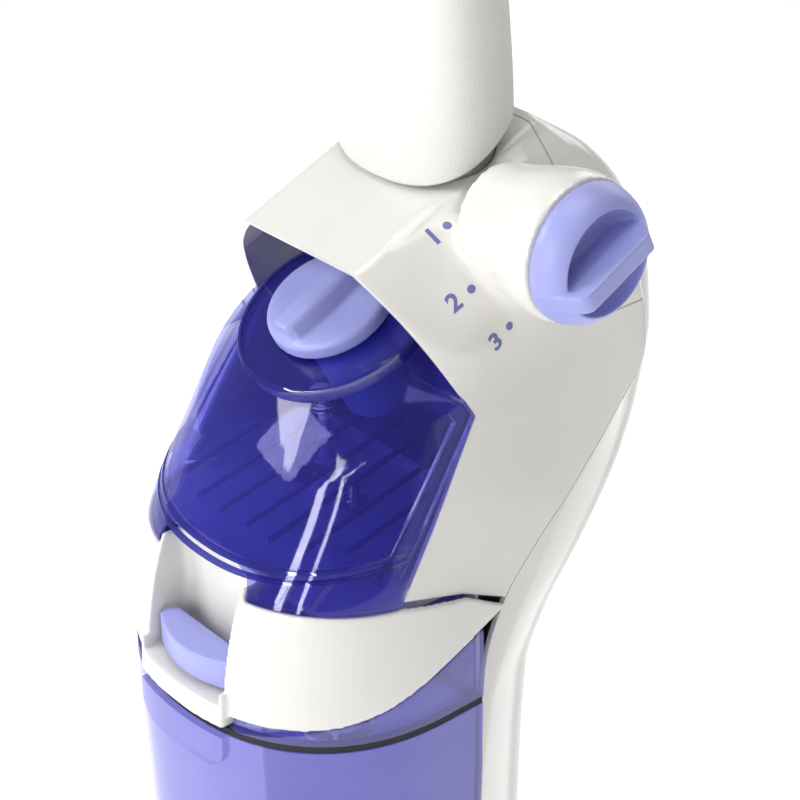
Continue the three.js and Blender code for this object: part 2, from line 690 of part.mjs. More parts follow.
function floatCage() {
  const ringAt = (z) => turned([[17, z], [21, z], [21, z + 3], [17, z + 3], [17, z]], 16,
    placed(CAGE_AT[0], CAGE_AT[1], 0));
  const plate = rod("z", 21, CAGE_BOTTOM, CAGE_BOTTOM + 2, CAGE_AT, 16);
  const top = LID_TOP - TANK_WALL - FIT;
  const posts = [];
  for (let i = 0; i < 4; i++) {
    const angle = Math.PI / 4 + i * Math.PI / 2;
    const at = [CAGE_AT[0] + 19 * Math.cos(angle), CAGE_AT[1] + 19 * Math.sin(angle)];
    posts.push(rod("z", 2, CAGE_BOTTOM + 1, top, at, 6));
  }
  return unite(plate, ringAt(CAGE_BOTTOM + 1), ringAt(CAGE_BOTTOM + 45), ringAt(top - 3), ...posts);
}

function floatBall() {
  const z = CAGE_BOTTOM + 2.4;
  return turned([[0, z], [12, z], [15, z + 4], [15, z + 20], [12, z + 24], [0, z + 24]], 20,
    placed(CAGE_AT[0], CAGE_AT[1], 0));
}

function standpipe() {
  const at = [-34, 8];
  return pipe([new THREE.Vector3(...at, 318), new THREE.Vector3(...at, 446)], 14, 12, 16, 1);
}

// ---------------------------------------------------------------- inside the body

function bayPanel() {
  const plate = hull(PANEL_INSET + 4).intersect(box(-WIDE, WIDE, BAY_FACE, BAY_FACE + WALL, 127, 457));
  return cut(plate, ...[-34, 34].map((x) => rod("y", 12, 20, 60, [x, 428], 16)));
}

function tankTray() {
  const plate = hull(0).intersect(box(-WIDE, WIDE, -200, BAY_FACE - FIT, BODY_BOTTOM - 2, TANK_BOTTOM - FIT));
  const under = hull(WALL).intersect(box(-WIDE, WIDE, -200, BAY_FACE - WALL, 0, TANK_BOTTOM - WALL - FIT));
  return plate.subtract(under);
}

function tankSeat() {
  const form = hull(PANEL_INSET).intersect(topLimit(PANEL_INSET));
  const floor = box(-WIDE, WIDE, BLOCK_BACK + 3, TANK_BACK + 6, 463, 467);
  const wall = box(-WIDE, WIDE, TANK_BACK + 3, TANK_BACK + 6, 464, 640);
  const cup = turned([[9, 466], [12, 466], [12, 480], [9, 480], [9, 466]], 16, placed(...VALVE_AT, 0));
  const drain = rod("z", 3, 455, 475, VALVE_AT, 12);
  return cut(unite(form.intersect(unite(floor, wall)), cup), drain);
}

function solutionTube() {
  const [x, y] = VALVE_AT;
  return pipe([[x, y + 14, 450], [x - 11, 46, 436], [x - 30, 50, 410], [x - 30, 56, 370], [x - 30, 60, 170]]
    .map((p) => new THREE.Vector3(...p)), 3.5, 2, 6, 9);
}

function dirtyWaterPipe() {
  return pipe([new THREE.Vector3(-34, 64, 156), new THREE.Vector3(-34, 64, 415)], 17, 14.5, 16, 1);
}

function airPipe() {
  const route = [[34, 64, 400], [34, 70, 425], [30, 104, 462], [8, FAN_Y, 500], [0, FAN_Y, FAN_Z - 12]];
  return pipe(route.map((p) => new THREE.Vector3(...p)), 14, 12, 12, 9);
}

function fanScroll() {
  const base = FAN_Z - 5;
  const r = FAN_R + 4;
  const cup = turned([[15, base], [r, base], [r, FAN_Z + 27], [r - 2, FAN_Z + 27], [r - 2, base + 2],
    [15, base + 2], [15, base]], 24, placed(0, FAN_Y, 0));
  const plate = hull(PANEL_INSET).intersect(box(-WIDE, WIDE, TANK_BACK + 7, 165, base - 3, base + 1));
  return unite(cup, cut(plate, rod("z", 15, 400, 600, [0, FAN_Y], 24)));
}

function impeller() {
  const hub = rod("z", 7, FAN_Z, FAN_Z + 26, [0, FAN_Y], 16);
  const plates = [rod("z", FAN_R - 1, FAN_Z + 18, FAN_Z + 20, [0, FAN_Y], 32)];
  for (let i = 0; i < 8; i++) {
    const blade = new THREE.BoxGeometry(FAN_R - 10, 2, 18.5);
    blade.translate((FAN_R - 10) / 2 + 6, 0, FAN_Z + 9.5).rotateZ(i * Math.PI / 4).translate(0, FAN_Y, 0);
    plates.push(solid(blade));
  }
  return unite(hub, ...plates);
}

function suctionMotor() {
  const base = FAN_Z + 28;
  return turned([[0, base], [FAN_R + 4, base], [FAN_R + 4, base + 4], [MOTOR_R, base + 5],
    [MOTOR_R, base + 62], [MOTOR_R - 8, base + 70], [14, base + 71], [14, base + 78], [0, base + 78]],
  24, placed(0, FAN_Y, 0));
}

function exhaustFilter() {
  const z = FAN_Z + 28 + 80;
  return turned([[18, z], [34, z], [34, z + 14], [18, z + 14], [18, z]], 28, placed(0, FAN_Y, 0));
}

function cordGland() {
  const y = 168;
  return turned([[0, 0], [10, 0], [10, 3], [7, 3], [7, 15], [5.5, 24], [3.5, 24], [3.5, 10], [0, 10]], 16,
    new THREE.Matrix4().makeTranslation(-52, y, 530).multiply(new THREE.Matrix4().makeRotationX(-Math.PI / 2)));
}

// ---------------------------------------------------------------- mode knob
function knobPlace() {
  const [c, s] = [Math.cos(KNOB_POINTER), Math.sin(KNOB_POINTER)];
  return new THREE.Matrix4().set(0, 0, 1, KNOB_FACE + FIT, c, -s, 0, KNOB_Y, s, c, 0, KNOB_Z, 0, 0, 0, 1);
}

function modeKnob() {
  const place = knobPlace();
  const top = KNOB_TOP - KNOB_FACE - FIT;
  const dome = turned([[0, 0], [KNOB_R, 0], [KNOB_R, 4], [KNOB_R - 3, 12], [KNOB_R - 8, 18],
    [KNOB_R - 15, 21], [0, 22]], 36, place);
  const scoopShape = new THREE.Shape();
  scoopShape.absellipse(0, 0, KNOB_R - 10, KNOB_R - 12, 0, 2 * Math.PI);
  const scoop = solid(extrude(scoopShape, 40).translate(0, 0, 5).applyMatrix4(place));
  const blade = new THREE.Shape();
  blade.moveTo(-KNOB_R + 5, 0);
  blade.lineTo(KNOB_R, 0);
  blade.lineTo(KNOB_R, 5);
  blade.lineTo(KNOB_R - 9, top - 3);
  blade.lineTo(KNOB_R - 12, top);
  blade.lineTo(-KNOB_R + 16, top);
  blade.lineTo(-KNOB_R + 5, 12);
  blade.closePath();
  const rib = solid(extrude(blade, 12, 1.5).rotateX(Math.PI / 2).translate(0, 6, 0).applyMatrix4(place));
  const shaft = rod("x", KNOB_SHAFT_R - 1, 80, KNOB_FACE + 4, [KNOB_Y, KNOB_Z], 20);
  const arm = box(80, 84, KNOB_Y - 6, KNOB_Y + 6, KNOB_Z - 26, KNOB_Z);
  return unite(cut(dome, scoop), rib, shaft, arm);
}

// ---------------------------------------------------------------- handle

function handleNeck() {
  const ring = (z, grow) => oval(1, 1, STALK_POWER, 28, stalkSection(690, grow - NECK_INSET)).map(([x, y]) => [x, y, z]);
  const outer = loft([ring(NECK_Z[0], 0), ring(NECK_Z[1], 0)]);
  const inner = loft([ring(NECK_Z[0] - 5, -4), ring(NECK_Z[1] + 5, -4)]);
  return outer.subtract(inner);
}


function stalkForm(grow) {
  return loft(STALK_LEVELS.map((z) => oval(1, 1, STALK_POWER, 32, stalkSection(z, grow))));
}

function stalkSplit(shift) {
  return STALK_LEVELS.map((z) => {
    const middle = stalkSection(z)(0, 0)[1];
    return [middle + 0.55 * (stalkSection(z)(0, 1)[1] - middle) + shift, z];
  });
}

function stalkShell() {
  const lip = halfPlaneAbove(46, STALK_LIP_Z, LIP_SLOPE);
  return stalkForm(0).intersect(lip).subtract(loft([...STALK_LEVELS.slice(0, -1), STALK_TOP + 1]
    .map((z) => oval(1, 1, STALK_POWER, 32, stalkSection(z, -WALL)))));
}

function handleFrontShell() {
  const region = sideRegion([[-50, 600], ...stalkSplit(0), [-50, STALK_TOP]]);
  const slot = box(-SWITCH_HALF - 1, SWITCH_HALF + 1, 40, 85, SWITCH_Z - 15, SWITCH_Z + 15);
  return stalkShell().intersect(region).subtract(slot);
}

function handleRearCover() {
  const region = sideRegion([...stalkSplit(FIT).slice().reverse(), [250, 600], [250, STALK_TOP]]);
  return cut(stalkShell().intersect(region), rod("y", 5 + PIN_FIT, 80, 140, [0, UPPER_HOOK_Z], 12),
    rod("y", 5 + PIN_FIT, 80, 140, [0, LOWER_HOOK_Z], 12));
}


function powerSwitch() {
  const front = stalkSection(SWITCH_Z)(0, -1)[1];
  return alongX(outline([[front - 2.5, SWITCH_Z + 12], [front - 0.5, SWITCH_Z], [front - 1, SWITCH_Z - 12],
    [front + 9, SWITCH_Z - 9], [front + 9, SWITCH_Z + 9]]), -SWITCH_HALF, SWITCH_HALF, 0.6);
}

function looped(shape, half, bevel) {
  return extrude(shape, 2 * half, bevel).translate(0, 0, -half)
    .applyMatrix4(new THREE.Matrix4().set(0, 0, 1, 0, 1, 0, 0, 0, 0, 1, 0, 0, 0, 0, 0, 1))
    .rotateX(-LOOP_TILT).translate(0, LOOP_Y, LOOP_Z);
}


function loopPoint(across, along) {
  const [c, s] = [Math.cos(LOOP_TILT), Math.sin(LOOP_TILT)];
  return [LOOP_Y + across * c + along * s, LOOP_Z + along * c - across * s];
}

function handleLoop() {
  const shape = new THREE.Shape();
  shape.absellipse(0, 0, LOOP_HALF_Y, LOOP_HALF_Z, 0, 2 * Math.PI);
  const hole = new THREE.Path();
  hole.absellipse(0, 0, TRIGGER_BAR, LOOP_HALF_Z - LOOP_THICK, 0, 2 * Math.PI, true);
  shape.holes.push(hole);
  const ring = solid(looped(shape, GRIP_HALF, 5));
  const tangY = stalkSection(STALK_TOP)(0, 0)[1];
  const tang = box(-13, 13, tangY - 8, tangY + 8, STALK_TOP - 16, STALK_TOP + 12);
  const slot = solid(looped(outline([[4, -46], [TRIGGER_BAR + 11, -46], [TRIGGER_BAR + 11, TRIGGER_TOP + 8],
    [4, TRIGGER_TOP + 8]]), 8, 0));
  const pinHole = rod("x", TRIGGER_PIN_R + PIN_FIT, -GRIP_HALF + 1.5, GRIP_HALF - 1.5,
    loopPoint(TRIGGER_BAR + 3, TRIGGER_TOP), 12);
  return cut(unite(ring, tang), slot, pinHole);
}

function trigger() {
  const shape = new THREE.Shape();
  shape.moveTo(TRIGGER_BAR + 8, TRIGGER_TOP + 5);
  shape.lineTo(TRIGGER_BAR - 6, TRIGGER_TOP + 4);
  shape.quadraticCurveTo(TRIGGER_BAR - 15, 10, TRIGGER_BAR - 9, -36);
  shape.lineTo(TRIGGER_BAR - 1, -38);
  shape.quadraticCurveTo(TRIGGER_BAR - 4, 6, TRIGGER_BAR + 8, TRIGGER_TOP - 6);
  shape.closePath();
  const pin = loopPoint(TRIGGER_BAR + 3, TRIGGER_TOP);
  return solid(looped(shape, 7, 1)).add(rod("x", TRIGGER_PIN_R, -GRIP_HALF + 2, GRIP_HALF - 2, pin, 12));
}


function cordHook(z, reach) {
  const back = stalkSection(z)(0, 1)[1];
  const plug = rod("y", 5, back - 7, back + 2, [0, z], 12);
  const stem = alongY(outline([[-8, z - 8], [8, z - 8], [8, z + 8], [-8, z + 8]]), back + 1, back + 26, 0, 1);
  const low = Math.min(z - 8, z + reach);
  const high = Math.max(z + 8, z + reach);
  return unite(plug, stem, alongY(outline([[-10, low], [10, low], [10, high], [-10, high]]),
    back + 21, back + 26, 0, 1.5));
}

// ---------------------------------------------------------------- floor head
// Levels of the cover: inset of its sides, height, and y of its front.
function headRing(inset, z, front) {
  const half = HEAD_WIDTH / 2 - inset;
  const corner = Math.max(6, 26 - inset);
  const back = HEAD_BACK - inset;
  const ring = [];
  const corners = [[half - corner, back - corner, 0], [-half + corner, back - corner, 1]];
  ring.push([half, front, z]);
  for (const [x, y, quarter] of corners) {
    for (let i = 0; i <= 4; i++) {
      const angle = Math.PI / 2 * (quarter + i / 4);
      ring.push([x + corner * Math.cos(angle), y + corner * Math.sin(angle), z]);
    }
  }
  ring.push([-half, front, z]);
  return ring;
}


function baseHousing() {
  const outer = loft(HEAD_LEVELS.map(([inset, z, y]) => headRing(inset, z, y)));
  const inner = loft(HEAD_LEVELS.map(([inset, z, y], i) => headRing(inset + WALL,
    i === 0 ? z - 1 : z - WALL, y + WALL)));
  const arms = [-1, 1].map((side) => box(...mirrored(side, ...ARM_X),
    HEAD_BACK - 12, WHEEL_Y + 14, 22, 56));
  const well = box(-BRACKET_X[1] - 3, BRACKET_X[1] + 3, PIVOT_Y - YOKE_R - 8, 200, 0, 200);
  const port = box(DUCT_X[0] + 2, DUCT_X[1] - 2, -140, -110, 60, 69);
  const pedalHole = rod("x", PEDAL_PIN_R + PIN_FIT, -ARM_X[1] - 1, -ARM_X[0] + 1, PEDAL_PIN, 12);
  const shell = cut(unite(cut(outer, inner), ...arms), well, port, pedalHole);
  const stubs = [];
  for (const side of [-1, 1]) {
    stubs.push(rod("x", AXLE_R, ...mirrored(side, ARM_X[1] - 1, WHEEL_X + WHEEL_HALF - 1), [WHEEL_Y, WHEEL_R], 20));
    const [x0, x1] = mirrored(side, HEAD_WIDTH / 2 - WALL, HEAD_WIDTH / 2 - 0.5);
    stubs.push(box(x0, x1, ROLLER_Y - 7, ROLLER_Y + 7, 5, 18));
    stubs.push(rod("x", STUB_R, ...mirrored(side, ROLLER_X[0] + 1, HEAD_WIDTH / 2 - 2), [ROLLER_Y, ROLLER_R], 12));
  }
  return unite(shell, ...stubs);
}

function basePlate() {
  const half = HEAD_WIDTH / 2 - 6;
  const tongue = ARM_X[0] - 2;
  const [front, back] = [CARRIER_BACK + 2, WHEEL_Y + 12];
  const plate = alongZ(outline([[-half, front], [half, front], [half, HEAD_BACK - 8], [tongue, HEAD_BACK - 4],
    [tongue, back], [-tongue, back], [-tongue, HEAD_BACK - 4], [-half, HEAD_BACK - 8]]), ...PLATE_Z);
  const lug = box(PEDAL_X[1] + 1, PEDAL_X[1] + 5, PEDAL_PIN[0] - 7, PEDAL_PIN[0] + 7, PLATE_Z[0], PEDAL_PIN[1] + 7);
  return unite(plate, lug).subtract(rod("x", PEDAL_PIN_R + PIN_FIT, -90, -60, PEDAL_PIN, 12));
}

function nozzleProfile(inset) {
  const shape = new THREE.Shape();
  const low = inset > 0 ? 0 : 6;
  shape.moveTo(-REACH + inset, low);
  shape.lineTo(-REACH + inset, 15);
  shape.quadraticCurveTo(-REACH + 6 + inset, 52 - inset, -150, 66 - inset);
  shape.quadraticCurveTo(-136, 71 - inset, NOZZLE_BACK - (inset > 0 ? -5 : 0), 72 - inset);
  shape.lineTo(NOZZLE_BACK - (inset > 0 ? -5 : 0), low);
  shape.closePath();
  return shape;
}

function nozzleHood() {
  const half = HEAD_WIDTH / 2 - 4;
  return alongX(nozzleProfile(0), -half, half, 2).subtract(alongX(nozzleProfile(WALL), -half + WALL, half - WALL));
}


function squeegeeCarrier() {
  const bar = box(-SQUEEGEE_HALF, SQUEEGEE_HALF, SQUEEGEE_Y - 5, SQUEEGEE_Y + 5, 14, 27);
  return bar.subtract(box(-WIDE * 2, WIDE * 2, SQUEEGEE_Y - 1.5 - 0.3, SQUEEGEE_Y + 1.5 + 0.3, 0, 22.3));
}

function squeegeeBlade() {
  return box(-SQUEEGEE_HALF + 1, SQUEEGEE_HALF - 1, SQUEEGEE_Y - 1.5, SQUEEGEE_Y + 1.5, BLADE_LOW, 22);
}


// A spur gear's outline, with a tooth centred on the phase angle.
function gearShape(teeth, phase) {
  const pitch = MODULE * teeth / 2;
  const step = 2 * Math.PI / teeth;
  const points = [];
  for (let i = 0; i < teeth; i++) {
    const centre = phase + i * step;
    for (const [radius, offset] of [[pitch - 0.95 * MODULE, -0.34], [pitch + 0.72 * MODULE, -0.1],
      [pitch + 0.72 * MODULE, 0.1], [pitch - 0.95 * MODULE, 0.34]]) {
      const angle = centre + offset * step;
      points.push([radius * Math.cos(angle), radius * Math.sin(angle)]);
    }
  }
  return outline(points);
}

function movedTo(body, x, y) {
  return solid(geometryOf(body).translate(x, y, 0));
}

function geometryOf(body) {
  const mesh = body.getMesh();
  const geometry = new THREE.BufferGeometry();
  geometry.setAttribute("position", new THREE.Float32BufferAttribute(mesh.vertProperties, 3));
  geometry.setIndex([...mesh.triVerts]);
  return geometry;
}

function brush(index) {
  const x = -ROW_HALF + index * BRUSH_PITCH;
  const phase = index % 2 === 0 ? 0 : Math.PI / GEAR_TEETH;
  const gear = alongZ(gearShape(GEAR_TEETH, phase), GEAR_Z, GEAR_Z + GEAR_HEIGHT);
  const head = turned([[10, 2], [BRUSH_R - 1, 2], [BRUSH_R, 30], [BRUSH_R, 35], [10, GEAR_Z + 1],
    [0, GEAR_Z + 1], [0, 30], [10, 26], [10, 2]], 18);
  const bore = rod("z", SPINDLE_R + PIN_FIT, 34, 60, [0, 0], 12);
  return movedTo(cut(unite(gear, head), bore), x, BRUSH_Y);
}

function brushCarrier() {
  const top = GEAR_Z + GEAR_HEIGHT + 1.5;
  const shape = box(-CARRIER_HALF, CARRIER_HALF, CARRIER_FRONT, CARRIER_BACK, 20, top + 3.5);
  const hollow = box(-CARRIER_HALF + 2.5, CARRIER_HALF - 2.5, CARRIER_FRONT + 2.5, CARRIER_BACK - 2.5, 0, top);
  const notch = rod("z", MODULE * PINION_TEETH / 2 + MODULE + 1, 0, 80, [0, PINION_Y], 20);
  let carrier = shape.subtract(hollow).subtract(notch);
  for (let i = 0; i < BRUSH_COUNT; i++) {
    const at = [-ROW_HALF + i * BRUSH_PITCH, BRUSH_Y];
    carrier = carrier.add(rod("z", SPINDLE_R, 36, top + 1, at, 12));
  }
  return carrier;
}

function drivePinion() {
  const gear = alongZ(gearShape(PINION_TEETH, Math.PI / 2 + Math.PI / PINION_TEETH), GEAR_Z, GEAR_Z + GEAR_HEIGHT);
  const shaft = rod("z", 3, GEAR_Z + 2, GEAR_Z + GEAR_HEIGHT + 8, [0, 0], 12);
  return movedTo(unite(gear, shaft), 0, PINION_Y);
}

function brushMotor() {
  const base = GEAR_Z + GEAR_HEIGHT + 7.5;
  return turned([[3 + PIN_FIT, base], [19, base], [19, base + 28], [10, base + 31], [0, base + 31],
    [0, base + 8], [3 + PIN_FIT, base + 8], [3 + PIN_FIT, base]], 24, placed(0, PINION_Y, 0));
}


function suctionDuct() {
  const [y0, y1] = [HEAD_FRONT + 7, PIVOT_Y - YOKE_R - 10];
  return cut(box(...DUCT_X, y0, y1, 57, 75), box(DUCT_X[0] + 2, DUCT_X[1] - 2, y0 - 1, y1 + 1, 59, 73));
}

function pivotYoke() {
  const barrel = rod("x", YOKE_R, -YOKE_HALF, YOKE_HALF, [PIVOT_Y, PIVOT_Z], 28);
  const neck = box(-44, 44, BAY_FACE + WALL + 6, PIVOT_Y + 18, PIVOT_Z + 4, 150);
  const hollow = box(-38, 38, BAY_FACE + WALL + 12, PIVOT_Y + 12, PIVOT_Z + 20, 160);
  const bore = rod("x", PIVOT_PIN_R + PIN_FIT, -YOKE_HALF - 1, YOKE_HALF + 1, [PIVOT_Y, PIVOT_Z], 24);
  return cut(unite(barrel, neck), hollow, bore);
}

function mirrored(side, near, far) {
  return side > 0 ? [near, far] : [-far, -near];
}

function pivotBracket(side) {
  const [x0, x1] = mirrored(side, ...BRACKET_X);
  const post = box(x0, x1, PIVOT_Y - 20, PIVOT_Y + 20, PLATE_Z[1] + 0.3, PIVOT_Z);
  const eye = rod("x", 20, x0, x1, [PIVOT_Y, PIVOT_Z], 24);
  return unite(post, eye, rod("x", PIVOT_PIN_R, ...mirrored(side, YOKE_HALF - 22, BRACKET_X[0] + 1),
    [PIVOT_Y, PIVOT_Z], 28));
}

function rearWheel(side) {
  const place = placed(side * WHEEL_X, WHEEL_Y, WHEEL_R, 0, side * Math.PI / 2);
  const bore = AXLE_R + PIN_FIT;
  return turned([[bore, -WHEEL_HALF + 3], [12, -WHEEL_HALF + 3], [14, -WHEEL_HALF + 6], [28, -WHEEL_HALF + 6],
    [WHEEL_R - 7, -WHEEL_HALF + 2], [WHEEL_R - 7, WHEEL_HALF - 2], [28, WHEEL_HALF - 5], [14, WHEEL_HALF - 3],
    [12, WHEEL_HALF], [bore, WHEEL_HALF], [bore, -WHEEL_HALF + 3]], 24, place);
}

function rearTyre(side) {
  const place = placed(side * WHEEL_X, WHEEL_Y, WHEEL_R, 0, side * Math.PI / 2);
  const seat = WHEEL_R - 7 + 0.3;
  return turned([[seat, -WHEEL_HALF + 2], [WHEEL_R - 1.5, -WHEEL_HALF + 2], [WHEEL_R, -WHEEL_HALF + 4],
    [WHEEL_R, WHEEL_HALF - 4], [WHEEL_R - 1.5, WHEEL_HALF - 2], [seat, WHEEL_HALF - 2],
    [seat, -WHEEL_HALF + 2]], 24, place);
}

function frontRoller(side) {
  const [x0, x1] = mirrored(side, ...ROLLER_X);
  return rod("x", ROLLER_R, x0, x1, [ROLLER_Y, ROLLER_R], 20)
    .subtract(rod("x", STUB_R + PIN_FIT, x0 - 1, x1 + 1, [ROLLER_Y, ROLLER_R], 12));
}


function releasePedal() {
  const [y, z] = PEDAL_PIN;
  const plate = alongX(outline([[y - 6, z - 4], [y + 30, z - 2], [y + 34, z + 1], [y + 30, z + 5], [y - 6, z + 5]]),
    ...PEDAL_X, 1);
  return plate.add(rod("x", PEDAL_PIN_R, PEDAL_X[0] - 12, PEDAL_X[1] + 4, PEDAL_PIN, 12));
}

// ---------------------------------------------------------------- the machine
const PIECES = [
  ["front_housing", frontHousing, WHITE],
  ["rear_housing", rearHousing, WHITE],
  ["bay_panel", bayPanel, WHITE],
  ["tank_tray", tankTray, WHITE],
  ["tank_seat", tankSeat, WHITE],
  ["solution_tube", solutionTube, GREY],
  ["dirty_water_pipe", dirtyWaterPipe, GREY],
  ["air_pipe", airPipe, GREY],
  ["fan_scroll", fanScroll, BLACK],
  ["fan_impeller", impeller, STEEL],
  ["suction_motor", suctionMotor, STEEL],
  ["exhaust_filter", exhaustFilter, FOAM],
  ["cord_gland", cordGland, BLACK],
  ["solution_tank", solutionTank, CLEAR_BLUE],
  ["tank_valve", valvePlunger, WHITE],
  ["valve_spring", valveSpring, STEEL],
  ["tank_cap", tankCap, LAVENDER],
  ["cap_seal", capSeal, RUBBER],
  ["measuring_cup", measuringCup, CUP_BLUE],
  ["recovery_tank", recoveryTank, SMOKE_BLUE],
  ["lid_gasket", lidGasket, RUBBER],
  ["recovery_lid", recoveryLid, SMOKE_BLUE],
  ["lid_band", lidBand, WHITE],
  ["latch_lever", latchLever, LAVENDER],
  ["float_cage", floatCage, WHITE],
  ["float", floatBall, WHITE],
  ["standpipe", standpipe, WHITE],
  ["mode_knob", modeKnob, LAVENDER],
  ["handle_neck", handleNeck, GREY],
  ["handle_front_shell", handleFrontShell, PEBBLED],
  ["handle_rear_cover", handleRearCover, PEBBLED],
  ["handle_loop", handleLoop, PEBBLED],
  ["trigger", trigger, LAVENDER],
  ["power_switch", powerSwitch, LAVENDER],
  ["upper_cord_hook", () => cordHook(UPPER_HOOK_Z, 30), GREY],
  ["lower_cord_hook", () => cordHook(LOWER_HOOK_Z, -30), GREY],
  ["base_housing", baseHousing, WHITE],
  ["base_plate", basePlate, WHITE],
  ["nozzle_hood", nozzleHood, CLEAR_BLUE],
  ["squeegee_carrier", squeegeeCarrier, GREY],
  ["squeegee_blade", squeegeeBlade, RUBBER],
  ["brush_carrier", brushCarrier, WHITE],
  ["drive_pinion", drivePinion, WHITE],
  ["brush_motor", brushMotor, STEEL],
  ["suction_duct", suctionDuct, GREY],
  ["pivot_yoke", pivotYoke, WHITE],
  ["release_pedal", releasePedal, LAVENDER],
];

for (const [name, make, material] of PIECES) add(name, make(), material);
for (let i = 0; i < BRUSH_COUNT; i++) add(`brush_${i + 1}`, brush(i), BRISTLE);
for (const [side, word] of [[-1, "left"], [1, "right"]]) {
  add(`pivot_bracket_${word}`, pivotBracket(side), GREY);
  add(`rear_wheel_${word}`, rearWheel(side), WHITE);
  add(`rear_tyre_${word}`, rearTyre(side), RUBBER);
  add(`front_roller_${word}`, frontRoller(side), GREY);
}

export default model;
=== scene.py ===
"""Looks of the wet dry floor scrubber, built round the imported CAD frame.

Lengths inside this file are millimetres until a mesh is made; Blender itself works in metres.
+Z is up, -Y is the front of the machine and +X is the side that carries the mode knob.
"""
import json
import math

import bmesh
import bpy
import numpy as np
from mathutils import Matrix, Vector


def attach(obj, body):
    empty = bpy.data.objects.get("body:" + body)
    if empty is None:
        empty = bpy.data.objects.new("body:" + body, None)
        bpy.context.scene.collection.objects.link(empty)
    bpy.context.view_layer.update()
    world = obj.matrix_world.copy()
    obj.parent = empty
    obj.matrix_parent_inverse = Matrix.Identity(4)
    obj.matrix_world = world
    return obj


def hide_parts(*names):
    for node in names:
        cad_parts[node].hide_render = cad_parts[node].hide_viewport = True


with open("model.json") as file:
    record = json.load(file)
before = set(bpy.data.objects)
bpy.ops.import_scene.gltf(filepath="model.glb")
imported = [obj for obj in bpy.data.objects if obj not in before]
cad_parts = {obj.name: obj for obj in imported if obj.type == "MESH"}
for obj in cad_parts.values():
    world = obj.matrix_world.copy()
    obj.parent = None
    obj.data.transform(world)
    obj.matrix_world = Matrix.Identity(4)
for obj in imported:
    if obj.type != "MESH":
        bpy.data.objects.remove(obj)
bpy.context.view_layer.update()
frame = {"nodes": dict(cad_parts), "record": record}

MM = 0.001
NODES = frame["nodes"]

# ---------------------------------------------------------------- sizes shared with the CAD part
REACH = 195
BODY_HALF = 108
WALL = 3
TANK_WALL = 2.6
FIT = 0.5
SLIDE_FIT = 1
TANK_SIDE_FIT = 3.4
BODY_BOTTOM = 112
TANK_BOTTOM = 128
GASKET_Z = 388
GASKET_HEIGHT = 5
BAY_FACE = 31
SEAM_Y = 114
SHOULDER_Z = 590
HOOD_TIP_Y = -9
HOOD_TIP_Z = 643
HOOD_SLOPE = 0.42
RIM_SLOPE = 0.55
KINK_Z = 564
PANEL_FOOT = (-21, 474)
PANEL_TIP_Z = 447
SHELF_ANGLE = math.radians(27.5)
CAP_SEAT = (15, 597)
SHELF_R = 57
SHELF_RISE = 8
SHELF_SKIRT = 0.55
CAP_R = 36
CAP_HEIGHT = 12
CUP_R = 24
CUP_DEPTH = 73
TANK_BACK = 74
FLOOR_FRONT_Z = 490
FLOOR_SLOPE = 0.22
SKIRT_Z = 471.5
KNOB_Y = 77
KNOB_Z = 657
KNOB_R = 38
KNOB_FACE = 123
KNOB_TOP = 153
KNOB_POINTER = math.radians(207)
KNOB_SHAFT_R = 7
STALK_Y = 79
STALK_POWER = 2.4
STALK_TOP = 955
STALK_LIP_Z = 669
LIP_SLOPE = 0.72
NECK_INSET = 9
WIDE = BODY_HALF + 60

# Stations up the body: z, nose, widest, half - BODY_HALF, crease, back, backHalf - BODY_HALF.
STATIONS = [
    (100, -62, 4, -12, 31, 97, -28),
    (150, -86, 4, -7, 31, 99, -27),
    (230, -95, 4, -3, 31, 99, -26),
    (320, -99, 4, -1, 31, 99, -25),
    (374, -101, 4, 0, 31, 100, -23),
    (410, -100, 4, 0, 35, 111, -20),
    (444, -95, 4, -2, 49, 133, -18),
    (474, -86, 6, -5, 76, 157, -20),
    (497, -73, 12, -8, 103, 173, -23),
    (525, -57, 24, -11, 133, 186, -26),
    (562, -39, 44, -15, 164, 194, -28),
    (588, -27, 50, -18, 163, REACH, -31),
    (620, -20, 52, -20, 150, 188, -34),
    (650, -18, 52, -22, 128, 174, -38),
    (675, -18, 52, -24, 100, 152, -42),
    (690, -18, 52, -26, 84, 130, -48),
    (704, -18, 52, -28, 74, 108, -54),
]
FRONT_POWER = 2.25
BACK_CORNER = 22
SHOULDER = [(46, 0), (56, -10), (68, -25), (79, -43), (87, -60), (92, -82), (97, -130)]
BAND_LOWER_EDGE = [(-140, 399), (-77, 402), (-42, 409), (-3, 424), (30, 437)]


# ---------------------------------------------------------------- mesh helpers
def new_object(name, verts, faces):
    mesh = bpy.data.meshes.new(name)
    mesh.from_pydata([tuple(np.array(v) * MM) for v in verts], [], faces)
    mesh.validate()
    piece = bpy.data.objects.new(name, mesh)
    bpy.context.scene.collection.objects.link(piece)
    work = bmesh.new()
    work.from_mesh(mesh)
    bmesh.ops.recalc_face_normals(work, faces=work.faces)
    if work.calc_volume(signed=True) < 0:
        bmesh.ops.reverse_faces(work, faces=work.faces)
    work.to_mesh(mesh)
    work.free()
    return piece


def bake_modifiers(piece):
    graph = bpy.context.evaluated_depsgraph_get()
    mesh = bpy.data.meshes.new_from_object(piece.evaluated_get(graph))
    piece.modifiers.clear()
    old = piece.data
    piece.data = mesh
    bpy.data.meshes.remove(old)
    return piece


def discard(piece):
    mesh = piece.data
    bpy.data.objects.remove(piece)
    if mesh.users == 0:
        bpy.data.meshes.remove(mesh)


def boolean(piece, other, operation, keep=False):
    step = piece.modifiers.new("join", "BOOLEAN")
    step.operation = operation
    step.solver = "MANIFOLD"
    step.object = other
    bake_modifiers(piece)
    if not keep:
        discard(other)
    return piece


def union(piece, *others):
    for other in others:
        boolean(piece, other, "UNION")
    return piece


def cut(piece, *others):
    for other in others:
        boolean(piece, other, "DIFFERENCE")
    return piece


